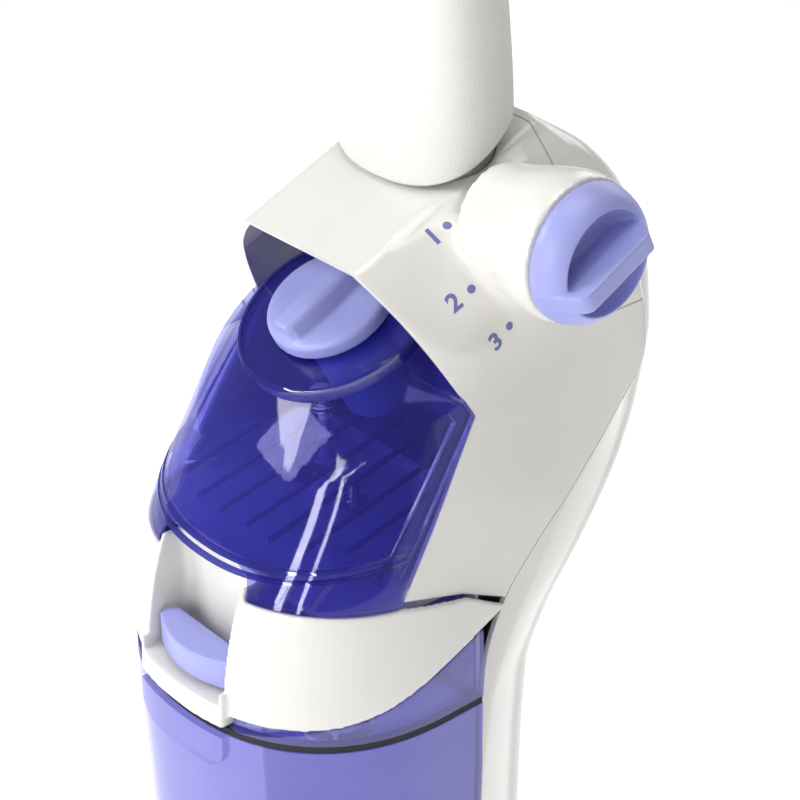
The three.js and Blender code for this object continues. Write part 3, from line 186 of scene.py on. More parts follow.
def common(piece, *others):
    for other in others:
        boolean(piece, other, "INTERSECT")
    return piece


def twin(piece, name="twin"):
    copy = bpy.data.objects.new(name, piece.data.copy())
    bpy.context.scene.collection.objects.link(copy)
    return copy


def loft(rings, name="loft"):
    """A closed skin through rings with equal numbers of points, lowest first."""
    count = len(rings[0])
    verts = [p for ring in rings for p in ring]
    faces = []
    for k in range(len(rings) - 1):
        for i in range(count):
            a, b = k * count + i, k * count + (i + 1) % count
            faces.append((a, b, b + count, a + count))
    faces.append(tuple(reversed(range(count))))
    faces.append(tuple(range((len(rings) - 1) * count, len(rings) * count)))
    return new_object(name, verts, faces)


def prism(axis, points, low, high, shear=0.0):
    """An outline pushed along an axis. Points are the other two coordinates, in x, y, z order."""
    def at(u, v, w):
        if axis == "x":
            return (w, u, v)
        if axis == "y":
            return (u, w, v + shear * w)
        return (u, v, w)
    return loft([[at(u, v, w) for u, v in points] for w in (low, high)], "prism")


def box(x0, x1, y0, y1, z0, z1):
    return prism("z", [(x0, y0), (x1, y0), (x1, y1), (x0, y1)], z0, z1)


def circle(radius, count, centre=(0, 0)):
    turn = [2 * math.pi * i / count for i in range(count)]
    return [(centre[0] + radius * math.cos(a), centre[1] + radius * math.sin(a)) for a in turn]


def rod(axis, radius, low, high, centre, count=48):
    return prism(axis, circle(radius, count, centre), low, high)


def turned(profile, count=96, place=None, name="turned"):
    """A turned solid. The profile runs from the axis to the axis, or closes on itself."""
    closed = profile[0] == profile[-1]
    points = profile[:-1] if closed else profile
    verts, index = [], []
    for r, z in points:
        row = []
        if r < 1e-6:
            verts.append((0, 0, z))
            row = [len(verts) - 1] * count
        else:
            for i in range(count):
                a = 2 * math.pi * i / count
                verts.append((r * math.cos(a), r * math.sin(a), z))
                row.append(len(verts) - 1)
        index.append(row)
    faces = []
    spans = len(points) if closed else len(points) - 1
    for k in range(spans):
        lower, upper = index[k], index[(k + 1) % len(points)]
        for i in range(count):
            j = (i + 1) % count
            ring = []
            for v in (lower[i], lower[j], upper[j], upper[i]):
                if v not in ring:
                    ring.append(v)
            if len(ring) > 2:
                faces.append(tuple(ring))
    if place is not None:
        verts = [tuple(place @ Vector(v)) for v in verts]
    return new_object(name, verts, faces)


def rounded(points, radius, steps=5):
    """A profile with each corner rounded, where there is room for it."""
    out = []
    for i, (x, y) in enumerate(points):
        if i in (0, len(points) - 1):
            out.append((x, y))
            continue
        here = Vector((x, y))
        before, after = Vector(points[i - 1]) - here, Vector(points[i + 1]) - here
        reach = min(radius, before.length * 0.45, after.length * 0.45)
        a, b = here + before.normalized() * reach, here + after.normalized() * reach
        for s in range(steps + 1):
            t = s / steps
            p = a * (1 - t) ** 2 + here * 2 * t * (1 - t) + b * t ** 2
            out.append((p.x, p.y))
    return out


def spline(points, per_span=6):
    """Points along a Catmull-Rom curve through the given ones."""
    padded = [points[0], *points, points[-1]]
    out = []
    for i in range(1, len(padded) - 2):
        p = [np.array(q, float) for q in padded[i - 1:i + 3]]
        for s in range(per_span):
            t = s / per_span
            out.append(tuple(0.5 * (2 * p[1] + (p[2] - p[0]) * t
                       + (2 * p[0] - 5 * p[1] + 4 * p[2] - p[3]) * t ** 2
                       + (3 * p[1] - p[0] - 3 * p[2] + p[3]) * t ** 3)))
    out.append(tuple(float(v) for v in points[-1]))
    return out


def relax(piece, times, strength=0.5, mask=None):
    """Laplacian smoothing of a mesh's vertices. A mask(co in mm) weights it, and then it hardly sinks."""
    mesh = piece.data
    co = np.zeros(len(mesh.vertices) * 3)
    mesh.vertices.foreach_get("co", co)
    co = co.reshape(-1, 3)
    edges = np.zeros(len(mesh.edges) * 2, int)
    mesh.edges.foreach_get("vertices", edges)
    edges = edges.reshape(-1, 2)
    degree = np.bincount(edges.ravel(), minlength=len(co)).astype(float)[:, None]
    weight = np.ones((len(co), 1)) if mask is None else mask(co / MM)[:, None]
    before = co.copy()
    normals = np.zeros(len(mesh.vertices) * 3)
    mesh.vertices.foreach_get("normal", normals)
    normals = normals.reshape(-1, 3)
    for _ in range(times):
        total = np.zeros_like(co)
        np.add.at(total, edges[:, 0], co[edges[:, 1]])
        np.add.at(total, edges[:, 1], co[edges[:, 0]])
        co = co + weight * strength * (total / degree - co)
    if mask is not None:
        rise = ((co - before) * normals).sum(axis=1, keepdims=True)
        deepest = 0.8 * MM
        co = before + (co - before) * np.where(rise < -deepest, deepest / np.maximum(-rise, deepest), 1.0)
    mesh.vertices.foreach_set("co", co.ravel())
    mesh.update()
    return piece


def remesh(piece, voxel):
    step = piece.modifiers.new("remesh", "REMESH")
    step.mode = "VOXEL"
    step.voxel_size = voxel * MM
    return bake_modifiers(piece)


def finish_piece(piece, name, body, material, nodes=(), angle=32):
    piece.name = name
    piece.data.name = name
    piece.data.materials.clear()
    piece.data.materials.append(material)
    piece.data.polygons.foreach_set("use_smooth", [True] * len(piece.data.polygons))
    piece.data.set_sharp_from_angle(angle=math.radians(angle))
    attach(piece, body)
    if nodes:
        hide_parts(*nodes)
    return piece


# ---------------------------------------------------------------- the body's outer form
def station(z, column):
    """Monotone cubic through the stations."""
    last = len(STATIONS) - 1
    k = 0
    while k < last - 1 and z > STATIONS[k + 1][0]:
        k += 1

    def slope(i):
        return (STATIONS[i + 1][column] - STATIONS[i][column]) / (STATIONS[i + 1][0] - STATIONS[i][0])

    def tangent(i):
        if i == 0:
            return slope(0)
        if i == last:
            return slope(last - 1)
        a, b = slope(i - 1), slope(i)
        return 0 if a * b <= 0 else 2 * a * b / (a + b)

    h = STATIONS[k + 1][0] - STATIONS[k][0]
    t = (z - STATIONS[k][0]) / h
    return (STATIONS[k][column] * (2 * t ** 3 - 3 * t ** 2 + 1) + tangent(k) * h * (t ** 3 - 2 * t ** 2 + t)
            + STATIONS[k + 1][column] * (3 * t ** 2 - 2 * t ** 3) + tangent(k + 1) * h * (t ** 3 - t ** 2))


def crease_y(z):
    return station(z, 4)


def hull_ring(z, inset, steps=26):
    half = BODY_HALF + station(z, 3) - inset
    nose = station(z, 1) + inset
    widest, crease = station(z, 2), station(z, 4)
    back = station(z, 5) - inset
    back_half = BODY_HALF + station(z, 6) - inset
    right = []
    for i in range(steps + 1):
        angle = math.pi / 2 * i / steps
        x = half * math.sin(angle) ** (2 / FRONT_POWER)
        y = widest - (widest - nose) * max(0.0, math.cos(angle)) ** (2 / FRONT_POWER)
        right.append((x, widest if i == steps else y))
    for share in (0.25, 0.5, 0.75, 1.0):
        right.append((half, widest + (crease - widest) * share))
    corner = min(BACK_CORNER, (back - crease) * 0.7)
    middle = ((half + back_half) / 2 + 1.5, (crease + back - corner) / 2)
    bend = (2 * middle[0] - (half + back_half) / 2, 2 * middle[1] - (crease + back - corner) / 2)
    for i in range(1, 8):
        t = i / 8
        right.append(tuple((1 - t) ** 2 * a + 2 * t * (1 - t) * m + t ** 2 * b for a, m, b in zip(
            (half, crease), bend, (back_half, back - corner))))
    for i in range(9):
        angle = math.pi / 2 * i / 8
        right.append((back_half - corner + corner * math.cos(angle),
                      back - corner + corner * math.sin(angle)))
    left = [(-x, y) for x, y in reversed(right[1:])]
    return [(x, y, z) for x, y in [*right, (0, back), *left]]


def hull(inset, low=108, high=704, step=4.0):
    count = max(2, round((high - low) / step))
    return loft([hull_ring(low + (high - low) * i / count, inset) for i in range(count + 1)], "hull")


def top_limit(inset):
    """The hood's flat top, sloping shoulders and sides, swept up along the top plane."""
    curve = [SHOULDER[0], *spline(SHOULDER[1:])]
    right = [(x - inset, v - inset) for x, v in curve] + [(BODY_HALF + 20 - inset, -700)]
    left = [(-x, v) for x, v in reversed(right)]
    lift = HOOD_TIP_Z - HOOD_SLOPE * HOOD_TIP_Y
    return prism("y", [(x, v + lift) for x, v in [*right, *left]], -300, 300, HOOD_SLOPE)


def side_region(points):
    return prism("x", points, -WIDE, WIDE)


def crease_line(from_z, to_z, shift, step=4.0):
    count = max(2, round(abs(from_z - to_z) / step))
    levels = [from_z + (to_z - from_z) * i / count for i in range(count + 1)]
    return [(crease_y(z) + shift, z) for z in levels]


def rim_y(z):
    return HOOD_TIP_Y + (HOOD_TIP_Z - z) * RIM_SLOPE


def shelf_place(lift=0.0):
    y, z = CAP_SEAT
    move = Matrix.Translation((0, y - lift * math.sin(SHELF_ANGLE), z + lift * math.cos(SHELF_ANGLE)))
    return move @ Matrix.Rotation(SHELF_ANGLE, 4, "X")


def shelf_disc(radius, low, high, count=96):
    return turned([(0, low), (radius, low), (radius, high), (0, high)], count, shelf_place())


def knob_boss(inset):
    sides = spline([(30 - inset, 60), (32.5 - inset, 76), (37 - inset, 92), (40 - inset, 106),
                    (KNOB_R + 1.5 - inset, KNOB_FACE - inset)], 8)
    place = Matrix.Translation((0, KNOB_Y, KNOB_Z)) @ Matrix.Rotation(math.pi / 2, 4, "Y")
    return turned([(0, 60), *sides, (0, KNOB_FACE - inset)], 96, place)


def stalk_point(z, x, y, grow=0.0):
    share = min(1.0, max(0.0, (z - 690) / (STALK_TOP - 690)))
    ease = share * share * (3 - 2 * share)
    half_x, half_y = 56 - 35 * ease + grow, 34 - 17 * ease + grow
    return (x * half_x, STALK_Y + 15 * share ** 2 + y * half_y, z)


def oval(z, grow, count=96, level=None):
    ring = []
    for i in range(count):
        a = 2 * math.pi * i / count
        c, s = math.cos(a), math.sin(a)
        x = math.copysign(abs(c) ** (2 / STALK_POWER), c)
        y = math.copysign(abs(s) ** (2 / STALK_POWER), s)
        px, py, _ = stalk_point(z if level is None else level, x, y, grow)
        ring.append((px, py, z))
    return ring


# ---------------------------------------------------------------- materials
def make_material(name, color, rough, coat=0.0, grain=(900, 0.00006), mottle=0.03, edge=0.0, metal=0.0,
                  sheen=0.0, clear=None, mix=0.5, spec=0.5, wear=0.0):
    """Moulded plastic and its kin: mottled colour, fine grain, and rounded moulded edges.

    clear is the tint of what is seen through the wall, and mix the share of solid colour in front of it.
    """
    mat = bpy.data.materials.new(name)
    mat.use_nodes = True
    tree = mat.node_tree
    nodes, links = tree.nodes, tree.links
    nodes.clear()
    out = nodes.new("ShaderNodeOutputMaterial")
    body = nodes.new("ShaderNodeBsdfPrincipled")
    body.inputs["Metallic"].default_value = metal
    body.inputs["Coat Weight"].default_value = coat
    body.inputs["Coat Roughness"].default_value = 0.06
    body.inputs["Specular IOR Level"].default_value = spec
    body.inputs["Sheen Weight"].default_value = sheen
    place = nodes.new("ShaderNodeTexCoord")

    cloud = nodes.new("ShaderNodeTexNoise")
    cloud.inputs["Scale"].default_value = 22
    cloud.inputs["Detail"].default_value = 4
    links.new(place.outputs["Object"], cloud.inputs["Vector"])
    tint = nodes.new("ShaderNodeMix")
    tint.data_type = "RGBA"
    low = [c * (1 - mottle) for c in color]
    high = [min(1.0, c * (1 + mottle)) for c in color]
    tint.inputs[6].default_value = (*low, 1)
    tint.inputs[7].default_value = (*high, 1)
    links.new(cloud.outputs["Fac"], tint.inputs[0])
    links.new(tint.outputs[2], body.inputs["Base Color"])

    gloss = nodes.new("ShaderNodeMapRange")
    gloss.inputs["To Min"].default_value = max(0.02, rough * (0.85 - wear))
    gloss.inputs["To Max"].default_value = min(1.0, rough * (1.15 + wear))
    links.new(cloud.outputs["Fac"], gloss.inputs["Value"])
    links.new(gloss.outputs["Result"], body.inputs["Roughness"])

    normal = None
    if edge > 0:
        soft = nodes.new("ShaderNodeBevel")
        soft.samples = 4
        soft.inputs["Radius"].default_value = edge * MM
        normal = soft.outputs["Normal"]
    if grain:
        fine = nodes.new("ShaderNodeTexNoise")
        fine.inputs["Scale"].default_value = grain[0]
        fine.inputs["Detail"].default_value = 3
        links.new(place.outputs["Object"], fine.inputs["Vector"])
        bump = nodes.new("ShaderNodeBump")
        bump.inputs["Distance"].default_value = grain[1]
        bump.inputs["Strength"].default_value = 1.0
        links.new(fine.outputs["Fac"], bump.inputs["Height"])
        if normal is not None:
            links.new(normal, bump.inputs["Normal"])
        normal = bump.outputs["Normal"]
    if normal is not None:
        links.new(normal, body.inputs["Normal"])
        links.new(normal, body.inputs["Coat Normal"])
    if clear is None:
        links.new(body.outputs[0], out.inputs["Surface"])
        return mat
    glass = nodes.new("ShaderNodeBsdfTransparent")
    glass.inputs["Color"].default_value = (*clear, 1)
    body.inputs["IOR"].default_value = 1.9
    body.inputs["Coat IOR"].default_value = 1.9
    rim = nodes.new("ShaderNodeLayerWeight")
    rim.inputs["Blend"].default_value = 0.2
    share = nodes.new("ShaderNodeMapRange")
    share.inputs["To Min"].default_value = mix
    share.inputs["To Max"].default_value = mix + 0.55
    links.new(rim.outputs["Facing"], share.inputs["Value"])
    blend = nodes.new("ShaderNodeMixShader")
    links.new(share.outputs["Result"], blend.inputs[0])
    links.new(glass.outputs[0], blend.inputs[1])
    links.new(body.outputs[0], blend.inputs[2])
    links.new(blend.outputs[0], out.inputs["Surface"])
    return mat


WHITE = make_material("white_plastic", (0.74, 0.725, 0.685), 0.22, coat=0.3, grain=(500, 0.00003), edge=1.2)
PEBBLED = make_material("pebbled_plastic", (0.72, 0.71, 0.68), 0.6, grain=(1100, 0.0004), edge=1.2)
GREY = make_material("grey_plastic", (0.33, 0.36, 0.33), 0.5, grain=(700, 0.0001), edge=0.8)
LAVENDER = make_material("lavender_plastic", (0.33, 0.35, 0.70), 0.38, grain=(900, 0.00006), edge=0.8)
INK = make_material("legend_ink", (0.15, 0.16, 0.40), 0.5, grain=None)
CLEAR_BLUE = make_material("clear_blue", (0.06, 0.055, 0.50), 0.04, coat=1.0, grain=None, mottle=0.08,
                           clear=(0.73, 0.72, 0.98), mix=0.11, spec=0.8)
EDGE_BLUE = make_material("edge_blue", (0.02, 0.02, 0.30), 0.06, coat=1.0, grain=None, mottle=0.1,
                          clear=(0.4, 0.42, 0.86), mix=0.35, spec=0.8)
SMOKE_BLUE = make_material("smoke_blue", (0.17, 0.17, 0.62), 0.14, coat=0.7, grain=(160, 0.0001), mottle=0.16,
                           clear=(0.80, 0.79, 0.98), mix=0.26, spec=0.6)
CUP_BLUE = make_material("cup_blue", (0.20, 0.28, 0.76), 0.25, grain=None, mottle=0.05,
                         clear=(0.72, 0.78, 0.98), mix=0.42)
BLACK = make_material("black_plastic", (0.012, 0.012, 0.014), 0.45, edge=0.6)
RUBBER = make_material("black_rubber", (0.010, 0.010, 0.012), 0.7, grain=(1200, 0.0001))
TYRE = make_material("tyre_rubber", (0.018, 0.018, 0.019), 0.78, grain=(900, 0.0002))
BRISTLE = make_material("bristle", (0.05, 0.08, 0.50), 0.8, grain=(1500, 0.0009), mottle=0.25, sheen=0.3)
FOAM = make_material("foam", (0.03, 0.03, 0.035), 0.95, grain=(1600, 0.0012))
STEEL = make_material("brushed_steel", (0.55, 0.56, 0.57), 0.32, metal=1.0, grain=(1500, 0.00005), edge=0.5)

SLOT_MATERIAL = {
    "white": WHITE, "pebbled": PEBBLED, "grey": GREY, "lavender": LAVENDER, "clear_blue": CLEAR_BLUE,
    "smoke_blue": SMOKE_BLUE, "cup_blue": CUP_BLUE, "black": BLACK, "rubber": RUBBER, "tyre": TYRE,
    "bristle": BRISTLE, "foam": FOAM, "steel": STEEL,
}


def dress_cad_nodes():
    """Every CAD node gets its slot's material and smooth faces with crisp edges."""
    for entry in frame["record"]["subparts"]:
        node = NODES[entry["node"]]
        node.data.materials.clear()
        node.data.materials.append(SLOT_MATERIAL[entry["material_slot"]])
        node.data.polygons.foreach_set("use_smooth", [True] * len(node.data.polygons))
        node.data.set_sharp_from_angle(angle=math.radians(30))


# ---------------------------------------------------------------- housings
def front_region():
    return side_region([
        (rim_y(760), 760), (rim_y(KINK_Z), KINK_Z), PANEL_FOOT, (20, 462),
        *reversed(crease_line(SHOULDER_Z, PANEL_TIP_Z, 0)), (SEAM_Y, SHOULDER_Z), (SEAM_Y, 760)])


def rear_region():
    return side_region([
        (SEAM_Y + FIT, 760), (SEAM_Y + FIT, SHOULDER_Z + FIT), (crease_y(SHOULDER_Z) + FIT, SHOULDER_Z + FIT),
        *crease_line(SHOULDER_Z, 240, FIT)[1:], (BAY_FACE + FIT, BODY_BOTTOM), (REACH + 20, BODY_BOTTOM),
        (REACH + 20, 760)])


def neck_hole():
    return loft([oval(z, FIT - NECK_INSET, level=690) for z in (600, 780)])


def boss_root(co):
    """1 where the knob's boss grows out of the shoulder, and 0 away from there."""
    away = np.hypot(co[:, 1] - KNOB_Y, co[:, 2] - KNOB_Z)
    ring = np.clip((66 - away) / 16, 0, 1) * np.clip((away - 20) / 8, 0, 1)
    reach = np.clip((112 - co[:, 0]) / 14, 0, 1) * np.clip((co[:, 0] - 40) / 10, 0, 1)
    return ring * reach


def outer_body():
    body = common(hull(0), top_limit(0))
    union(body, knob_boss(0))
    remesh(body, 2.0)
    relax(body, 3)
    return relax(body, 90, mask=boss_root)


def inner_body():
    return common(hull(WALL), top_limit(WALL))


def build_housings():
    outer, inner = outer_body(), inner_body()
    front = common(twin(outer), front_region())
    cut(front, twin(inner), knob_boss(WALL), neck_hole(),
        rod("x", KNOB_SHAFT_R, 100, 140, (KNOB_Y, KNOB_Z)))
    rear = common(outer, rear_region())
    cut(rear, inner, knob_boss(-FIT))
    for i in range(7):
        z = 556 + i * 11
        cut(rear, box(-44, 44, 150, REACH + 10, z, z + 5))
    cut(rear, rod("y", 7.5, 150, REACH + 10, (-52, 530)))
    finish_piece(front, "front_cover", "upright", WHITE, ["front_housing"])
    build_marks(front)
    finish_piece(rear, "rear_cover", "upright", WHITE, ["rear_housing"])


# ---------------------------------------------------------------- solution tank
def half_plane(y0, z0, slope, depth):
    far = 300
    ends = [(-far, z0 + slope * (-far - y0)), (far, z0 + slope * (far - y0))]
    return side_region([ends[0], ends[1], (far, z0 + depth), (-far, z0 + depth)])


def hood_window(inset):
    lean = 1 + HOOD_SLOPE * RIM_SLOPE
    curve = [SHOULDER[0], *spline(SHOULDER[1:])]
    right = [(x - inset, HOOD_TIP_Z + v / lean - inset) for x, v in curve] + [(BODY_HALF + 20 - inset, 0)]
    left = [(-x, z) for x, z in reversed(right)]
    return prism("y", [*right, *left], -300, 300)


def tank_form(inset):
    back = FIT + inset
    front = common(hull(inset), top_limit(inset), side_region([
        (-140, 400), (PANEL_FOOT[0] - back, 400), (PANEL_FOOT[0] - back, PANEL_FOOT[1]),
        (rim_y(KINK_Z) - back, KINK_Z), (rim_y(760) - back, 760), (-140, 760)]))
    inner = WALL + TANK_SIDE_FIT + inset
    rear = common(hull(inner), top_limit(inner), hood_window(inner),
                  box(-WIDE, WIDE, -120, TANK_BACK - inset, 400, 700))
    return common(union(front, rear), shelf_form(inset))


def shelf_form(inset):
    """Everything under the raised shelf and the shallow cone that falls away round it."""
    far = 300
    low = -SHELF_RISE - inset
    return turned([(0, -far), (far, -far), (far, low - (far - SHELF_R) * SHELF_SKIRT), (SHELF_R, low),
                   (SHELF_R - inset, low), (SHELF_R - inset, -inset), (0, -inset)], 144, shelf_place())


def build_solution_tank():
    tank = cut(tank_form(0), box(-WIDE, WIDE, -200, 200, 0, SKIRT_Z),
               box(-WIDE, WIDE, PANEL_FOOT[0] - FIT, 200, 0, 481))
    inside = common(tank_form(TANK_WALL), half_plane(PANEL_FOOT[0] - 50, FLOOR_FRONT_Z, FLOOR_SLOPE, 300))
    under = half_plane(PANEL_FOOT[0] - 50, FLOOR_FRONT_Z - TANK_WALL, FLOOR_SLOPE, -100)
    skirt = common(hull(TANK_WALL), twin(under), box(-WIDE, WIDE, -200, PANEL_FOOT[0] + 1, 0, 600))
    rear = cut(common(hull(WALL + TANK_SIDE_FIT + TANK_WALL), under),
               box(-WIDE, WIDE, TANK_BACK - TANK_WALL, 300, 0, 700))
    arch = [(-39.5, 0), (39.5, 0), (39.5, 476), (36, 484), (28, 487), (-28, 487), (-36, 484), (-39.5, 476)]
    cut(tank, inside, skirt, rear, prism("y", arch, -140, -50), shelf_disc(CUP_R + 1.5, -20, 5))
    finish_piece(tank, "clean_tank_shell", "clean_water_tank", CLEAR_BLUE, ["solution_tank"])


def floor_z(y):
    return FLOOR_FRONT_Z + FLOOR_SLOPE * (y - PANEL_FOOT[0] + 50)


def edge_strip(offset, width):
    """Strip of the side walls at an even distance in front of the joint with the side panels."""
    near, far = FIT + offset, FIT + offset + width
    line = [(PANEL_FOOT[0], 487), (rim_y(KINK_Z), KINK_Z), (rim_y(612), 612)]
    return side_region([*[(y - near, z) for y, z in line], *[(y - far, z) for y, z in reversed(line)]])


def skin_of(region, proud, depth):
    """Thin raised line that follows the tank's outside over a region."""
    return cut(common(hull(-proud), region), hull(depth))


def build_tank_details():
    limit = shelf_form(0)
    for index, (offset, width, proud) in enumerate(((12, 1.3, 0.45), (1, 1.0, 0.5))):
        line = common(skin_of(edge_strip(offset, width), proud, 1.2), twin(limit))
        finish_piece(line, f"tank_edge_line_{index + 1}", "clean_water_tank", EDGE_BLUE)
    discard(limit)

    for index, rise in enumerate((-5.5, -1.0)):
        slab = cut(half_plane(PANEL_FOOT[0] - 50, FLOOR_FRONT_Z + rise, FLOOR_SLOPE, 200),
                   half_plane(PANEL_FOOT[0] - 50, FLOOR_FRONT_Z + rise + 1.5, FLOOR_SLOPE, 300))
        common(slab, box(-WIDE, WIDE, -200, PANEL_FOOT[0] + 4, 0, 600))
        finish_piece(skin_of(slab, 0.7, 1.2), f"tank_floor_bead_{index + 1}", "clean_water_tank",
                     EDGE_BLUE)

    front, back, rib_height, rib_width = -58, 60, 2.2, 2.4
    for index, x in enumerate((-58, -34, -14, 8, 28, 50, 70)):
        rib = prism("x", [(front, floor_z(front)), (back, floor_z(back)), (back, floor_z(back) + rib_height),
                          (front, floor_z(front) + rib_height)], x, x + rib_width)
        common(rib, hull(WALL + TANK_SIDE_FIT + TANK_WALL + 2))
        finish_piece(rib, f"tank_floor_rib_{index + 1}", "clean_water_tank", EDGE_BLUE)

    for index, (x, y) in enumerate(((42, -8), (-3, -12))):
        foot = spline([(9, 1.4), (5.2, 2.6), (3.6, 5)])
        post = turned([(0, 0.3), (9, 0.3), *foot, (3.5, 10), (2.4, 12), (0, 12)], 48,
                      Matrix.Translation((x, y, floor_z(y))))
        finish_piece(post, f"tank_post_{index + 1}", "clean_water_tank", EDGE_BLUE)

    low = SKIRT_Z + 3
    pads = [[(45, low), (58, low), (60, 487), (49, 486)], [(61, low), (72, low), (75, 489), (64, 487.5)],
            [(75, low), (100, low), (100, 496), (79, 490)]]
    for index, pad in enumerate(pads):
        body = prism("y", rounded(pad, 1.5), -160, PANEL_FOOT[0] - 3)
        finish_piece(skin_of(body, 0.9, 0.8), f"tank_skirt_pad_{index + 1}", "clean_water_tank",
                     CLEAR_BLUE)

    lip = spline([(SHELF_R - 1.6, 0.9), (SHELF_R + 0.1, 0.5), (SHELF_R + 0.5, -1)])
    rim = turned([(SHELF_R - 2.2, -1), (SHELF_R - 2.2, 0.5), *lip, (SHELF_R + 0.4, -SHELF_RISE + 0.5),
                  (SHELF_R - 0.4, -SHELF_RISE + 0.5), (SHELF_R - 0.4, -1), (SHELF_R - 2.2, -1)], 128, shelf_place())
    limit = common(hull(0), box(-WIDE, WIDE, -200, TANK_BACK, 0, 760))
    finish_piece(common(rim, limit), "tank_shelf_rim", "clean_water_tank", EDGE_BLUE)


# ---------------------------------------------------------------- mode marks
MARK_SIZE = 13.5
MARK_WIDEN = 1.1
MARK_GAP = 8.5
DOT_R = 2.3
DOT_SIDES = 24
INK_ABOVE = 0.12
INK_BELOW = 0.4


def mark(name, text, dot, along, normal, skin):
    """A numeral and a dot in ink on the shoulder, the numeral ending just before the dot."""
    out = Vector(normal).normalized()
    base = (Vector(along) - out * Vector(along).dot(out)).normalized()
    up = out.cross(base)
    data = bpy.data.curves.new(name, "FONT")
    data.body = text
    data.size = MARK_SIZE
    data.extrude = 0.5
    data.offset = 0.4
    source = bpy.data.objects.new(name + "_font", data)
    shape = bmesh.new()
    shape.from_mesh(bpy.data.meshes.new_from_object(source))
    long_edges = [edge for edge in shape.edges if edge.calc_length() > 1.5]
    bmesh.ops.subdivide_edges(shape, edges=long_edges, cuts=6)
    shape.verts.index_update()
    right = max(v.co.x for v in shape.verts)
    points = [Vector(((v.co.x - right) * MARK_WIDEN - MARK_GAP, v.co.y - 4, v.co.z)) for v in shape.verts]
    faces = [tuple(v.index for v in face.verts) for face in shape.faces]
    shape.free()
    bpy.data.objects.remove(source)
    start = len(points)
    for level in (-0.5, 0.5):
        for i in range(DOT_SIDES):
            turn = 2 * math.pi * i / DOT_SIDES
            points.append(Vector((DOT_R * math.cos(turn), DOT_R * math.sin(turn), level)))
    faces.append(tuple(start + i for i in reversed(range(DOT_SIDES))))
    faces.append(tuple(start + DOT_SIDES + i for i in range(DOT_SIDES)))
    for i in range(DOT_SIDES):
        j = (i + 1) % DOT_SIDES
        faces.append((start + i, start + j, start + DOT_SIDES + j, start + DOT_SIDES + i))
    placed = []
    for point in points:
        above = Vector(dot) + base * point.x + up * point.y + out * 25
        found, where, _, _ = skin.ray_cast(above * MM, -out, distance=60 * MM)
        place = where / MM if found else above - out * 25
        placed.append(place + out * (INK_ABOVE if point.z > 0 else -INK_BELOW))
    finish_piece(new_object(name, placed, faces), name, "upright", INK)


def build_marks(skin):
    mark("mode_mark_1", "1", (55.5, 46, 657.5), (0, 15, 6), (0.7, -0.25, 0.66), skin)
    mark("mode_mark_2", "2", (75.5, 45, 628.5), (0, 13, 5), (0.83, -0.21, 0.51), skin)
    mark("mode_mark_3", "3", (88.5, 61.5, 606.5), (0, 16, 9.7), (0.97, -0.1, 0.2), skin)


# ---------------------------------------------------------------- small turned and moulded pieces
def knob_place():
    c, s = math.cos(KNOB_POINTER), math.sin(KNOB_POINTER)
    return Matrix(((0, 0, 1, KNOB_FACE + FIT), (c, -s, 0, KNOB_Y), (s, c, 0, KNOB_Z), (0, 0, 0, 1)))


def moved(piece, place):
    piece.data.transform(Matrix.Scale(MM, 4) @ place @ Matrix.Scale(1 / MM, 4))
    return piece


def build_knob():
    top = KNOB_TOP - KNOB_FACE - FIT
    dome = turned([(0, 0), (KNOB_R, 0), *spline([(KNOB_R, 4), (KNOB_R - 3, 12), (KNOB_R - 8, 18),
                  (KNOB_R - 15, 21), (0, 22)])], 120)
    scoop = turned([(0, 5), *spline([(16, 5), (24, 9), (29, 20), (31, 40)]), (0, 40)], 96)
    blade = prism("y", rounded([(-KNOB_R + 4, 0), (KNOB_R, 0), (KNOB_R, 5), (KNOB_R - 9, top - 3),
                  (KNOB_R - 13, top), (-KNOB_R + 16, top), (-KNOB_R + 4, 10)], 2), -5.8, 5.8)
    knob = union(cut(dome, scoop), blade)
    remesh(knob, 0.8)
    relax(knob, 4)
    moved(knob, knob_place())
    finish_piece(knob, "mode_dial", "knob", LAVENDER, ["mode_knob"], angle=60)


def build_cap():
    top = CAP_HEIGHT
    edge = rounded([(CAP_R, 2.3), (CAP_R, top - 1), (CAP_R - 6, top), (0, top - 1.2)], 4)
    disc = turned([(0, 2.3), *edge])
    bar = [(-12, -0.5), (12, -0.5), (8, 9), (5.5, 11), (-5.5, 11), (-8, 9)]
    ends = (CAP_R - 4, CAP_R - 7)
    grip = loft([[(x * w, -y0, z + top - 1.5) for x, z in bar] for y0, w in (
        (ends[0], 0.62), (ends[1], 0.9), (0, 1.0), (-ends[1], 0.9), (-ends[0], 0.62))])
    cap = union(disc, grip)
    remesh(cap, 0.8)
    relax(cap, 3)
    moved(cap, shelf_place())
    finish_piece(cap, "filler_cap", "cap", LAVENDER, ["tank_cap"], angle=60)
    r = CUP_R
    outer = [(0, -CUP_DEPTH), (r - 11, -CUP_DEPTH), (r - 7, -CUP_DEPTH + 2), (r - 4, -CUP_DEPTH + 7),
             (r, 1.9)]
    inner = [(r - 1.8, 1.9), (r - 5.8, -CUP_DEPTH + 8), (r - 9, -CUP_DEPTH + 3.5), (0, -CUP_DEPTH + 2)]
    cup = turned([*outer, *inner], 96, shelf_place())
    finish_piece(cup, "dosing_cup", "cap", CUP_BLUE, ["measuring_cup"], angle=50)


# ---------------------------------------------------------------- recovery tank, lid and latch
BLOCK_HALF = 38
BLOCK_BACK = -60
BLOCK_TOP = 477
BLOCK_BOTTOM = GASKET_Z + GASKET_HEIGHT + 1
RECESS_Z = 408
RECESS_BACK = -66
LID_TOP = 452


def bay_region(z0, z1, back=BAY_FACE - SLIDE_FIT):
    return box(-WIDE, WIDE, -200, back, z0, z1)


def block_form(grow):
    return box(-BLOCK_HALF - grow, BLOCK_HALF + grow, -160, BLOCK_BACK + grow, BLOCK_BOTTOM - grow,
               BLOCK_TOP + grow)


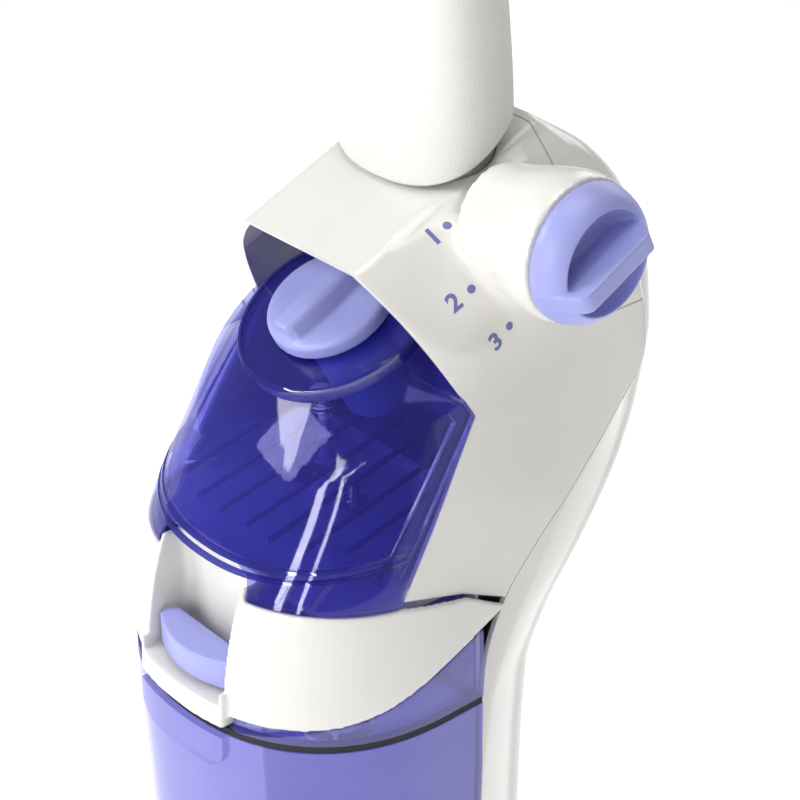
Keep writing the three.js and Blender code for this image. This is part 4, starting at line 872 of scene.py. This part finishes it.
def band_region(shift):
    tip_y = crease_y(PANEL_TIP_Z - 3) - 1
    lower = spline([(y, z - shift) for y, z in BAND_LOWER_EDGE])
    return side_region([(-140, SKIRT_Z - 1), (PANEL_FOOT[0] - 2, SKIRT_Z - 1), (20, 461),
                        (tip_y, PANEL_TIP_Z - 2), *reversed(lower)])


def build_recovery_tank():
    tank = common(hull(0), bay_region(TANK_BOTTOM, GASKET_Z))
    bump_profile = rounded([(-BLOCK_HALF, 392), (-BLOCK_HALF, 372), (-BLOCK_HALF + 9, 365),
                            (BLOCK_HALF - 9, 365), (BLOCK_HALF, 372), (BLOCK_HALF, 392)], 5)
    bump = common(hull(-3.6), prism("y", bump_profile, -200, -60), box(-60, 60, -200, -60, 360, GASKET_Z))
    union(tank, bump)
    cut(tank, common(hull(TANK_WALL),
                     bay_region(TANK_BOTTOM + TANK_WALL, 500, BAY_FACE - SLIDE_FIT - TANK_WALL)))
    finish_piece(tank, "dirty_tank_shell", "dirty_water_tank", SMOKE_BLUE, ["recovery_tank"])

    seal = cut(common(hull(0.6), bay_region(GASKET_Z + 0.3, GASKET_Z + GASKET_HEIGHT - 0.3, BAY_FACE - 1.5)),
               common(hull(6), bay_region(0, 900, BAY_FACE - 6)))
    finish_piece(seal, "lid_seal", "dirty_water_tank", RUBBER, ["lid_gasket"])

    low = GASKET_Z + GASKET_HEIGHT
    skirt = cut(common(hull(0), bay_region(low, 460)), band_region(FIT), half_plane(0, 426, 0.35, 300))
    inset = WALL + FIT
    lid = union(skirt, common(hull(inset), bay_region(low, LID_TOP)))
    cut(lid, block_form(FIT), cut(common(hull(inset + TANK_WALL), bay_region(
        0, LID_TOP - TANK_WALL, BAY_FACE - SLIDE_FIT - TANK_WALL)), block_form(FIT + TANK_WALL)))
    for x in (-34, 34):
        cut(lid, rod("y", 12, 20, 60, (x, 428)))
    finish_piece(lid, "dirty_tank_lid", "dirty_water_tank", SMOKE_BLUE, ["recovery_lid"])


def build_band():
    band = cut(common(hull(0), band_region(0)), hull(WALL))
    proud = common(hull(-3.6), block_form(0), box(-WIDE, WIDE, -200, 0, 0, RECESS_Z + 8))
    union(band, common(hull(0), block_form(0)), proud)
    half = BLOCK_HALF - WALL
    recess = prism("z", rounded([(-half, -160), (-half, RECESS_BACK - 4), (-half + 5, RECESS_BACK),
                                 (half - 5, RECESS_BACK), (half, RECESS_BACK - 4), (half, -160)], 3), RECESS_Z, 600)
    under = common(box(-half, half, -160, RECESS_BACK, 300, RECESS_Z - WALL), hull(WALL))
    cut(band, recess, under)
    remesh(band, 1.1)
    relax(band, 3)
    finish_piece(band, "lid_wrap", "dirty_water_tank", WHITE, ["lid_band"], angle=60)

    half = BLOCK_HALF - WALL - 1.5
    arc = [(half * t, -88 - 9 * (1 - t * t)) for t in np.linspace(-1, 1, 33)]
    back = [(half, -83), (half - 5, -78), (-half + 5, -78), (-half, -83)]
    lever = prism("z", [*back, *arc], RECESS_Z + 3, RECESS_Z + 23)
    slope = side_region([(-200, RECESS_Z + 16), (-95, RECESS_Z + 20), (-70, RECESS_Z + 26), (-70, 500),
                         (-200, 500)])
    cut(lever, slope)
    remesh(lever, 0.9)
    relax(lever, 3)
    finish_piece(lever, "latch_paddle", "latch", LAVENDER, ["latch_lever"], angle=60)


# ---------------------------------------------------------------- handle
def stalk_levels(low, high, step=6.0):
    count = round((high - low) / step)
    return [low + (high - low) * i / count for i in range(count + 1)]


def stalk_form(grow, low=640, high=STALK_TOP):
    return loft([oval(z, grow) for z in stalk_levels(low, high)])


def stalk_split(shift):
    return [(stalk_point(z, 0, 0)[1] + 0.55 * (stalk_point(z, 0, 1)[1] - stalk_point(z, 0, 0)[1]) + shift, z)
            for z in stalk_levels(640, STALK_TOP)]


def build_handle():
    lip = half_plane(46, STALK_LIP_Z, LIP_SLOPE, 900)
    skin = cut(common(stalk_form(0), lip), stalk_form(-WALL, 630, STALK_TOP + 1))
    front = common(twin(skin), side_region([(-50, 600), *stalk_split(0), (-50, STALK_TOP)]))
    cut(front, box(-10, 10, 40, 85, 875, 905))
    rear = common(skin, side_region([*reversed(stalk_split(FIT)), (250, 600), (250, STALK_TOP)]))
    for z in (865, 790):
        cut(rear, rod("y", 5.4, 80, 140, (0, z)))
    finish_piece(front, "stalk_front", "upright", PEBBLED, ["handle_front_shell"])
    finish_piece(rear, "stalk_back", "upright", PEBBLED, ["handle_rear_cover"])


# ---------------------------------------------------------------- stage
CAMERA_AZIMUTH = math.radians(49)
CAMERA_ELEVATION = math.radians(29)
CAMERA_DISTANCE = 1.2
CAMERA_TARGET = Vector((0, 0.062, 0.525))
CAMERA_LENS = 94.5


def aim(thing, place, target):
    thing.location = place
    thing.rotation_euler = (Vector(target) - Vector(place)).to_track_quat("-Z", "Y").to_euler()


def area_light(name, place, target, width, height, power, color=(1, 1, 1)):
    data = bpy.data.lights.new(name, "AREA")
    data.shape = "RECTANGLE"
    data.size, data.size_y = width, height
    data.energy = power
    data.color = color
    lamp = bpy.data.objects.new(name, data)
    bpy.context.scene.collection.objects.link(lamp)
    aim(lamp, place, target)


def build_stage():
    scene = bpy.context.scene
    data = bpy.data.cameras.new("camera")
    data.lens = CAMERA_LENS
    data.sensor_width = 36
    camera = bpy.data.objects.new("camera", data)
    scene.collection.objects.link(camera)
    away = Vector((math.sin(CAMERA_AZIMUTH) * math.cos(CAMERA_ELEVATION),
                   -math.cos(CAMERA_AZIMUTH) * math.cos(CAMERA_ELEVATION), math.sin(CAMERA_ELEVATION)))
    aim(camera, CAMERA_TARGET + away * CAMERA_DISTANCE, CAMERA_TARGET)
    scene.camera = camera
    scene.view_settings.view_transform = "Standard"

    world = bpy.data.worlds.new("studio")
    scene.world = world
    world.use_nodes = True
    world.node_tree.nodes["Background"].inputs["Color"].default_value = (0.95, 0.97, 1.0, 1)
    world.node_tree.nodes["Background"].inputs["Strength"].default_value = 0.25

    floor = new_object("floor", [(-9000, -9000, 0), (9000, -9000, 0), (9000, 9000, 0), (-9000, 9000, 0)],
                       [(0, 1, 2, 3)])
    pale = bpy.data.materials.new("pale_floor")
    pale.use_nodes = True
    shader = pale.node_tree.nodes["Principled BSDF"]
    shader.inputs["Base Color"].default_value = (0.9, 0.9, 0.9, 1)
    shader.inputs["Roughness"].default_value = 0.8
    shader.inputs["Emission Color"].default_value = (1, 1, 1, 1)
    shader.inputs["Emission Strength"].default_value = 0.62
    floor.data.materials.append(pale)

    target = (0, 0.02, 0.52)
    area_light("key", (-0.9, -1.5, 1.7), target, 0.9, 0.9, 26)
    area_light("window", (0.30, -2.2, 1.0), target, 0.20, 1.6, 14)
    area_light("window_2", (0.80, -2.0, 1.0), target, 0.10, 1.5, 6)
    area_light("side_fill", (2.0, 0.2, 0.9), target, 1.0, 1.0, 0.8, (1.0, 0.94, 0.86))
    area_light("top", (0.1, 0.1, 2.4), target, 1.2, 1.2, 15)
    area_light("back_fill", (-0.6, 1.8, 1.4), target, 1.2, 1.2, 8)


# ---------------------------------------------------------------- the scene
build_stage()
dress_cad_nodes()
build_housings()
build_solution_tank()
build_tank_details()
build_knob()
build_cap()
build_recovery_tank()
build_band()
build_handle()

bpy.context.view_layer.update()
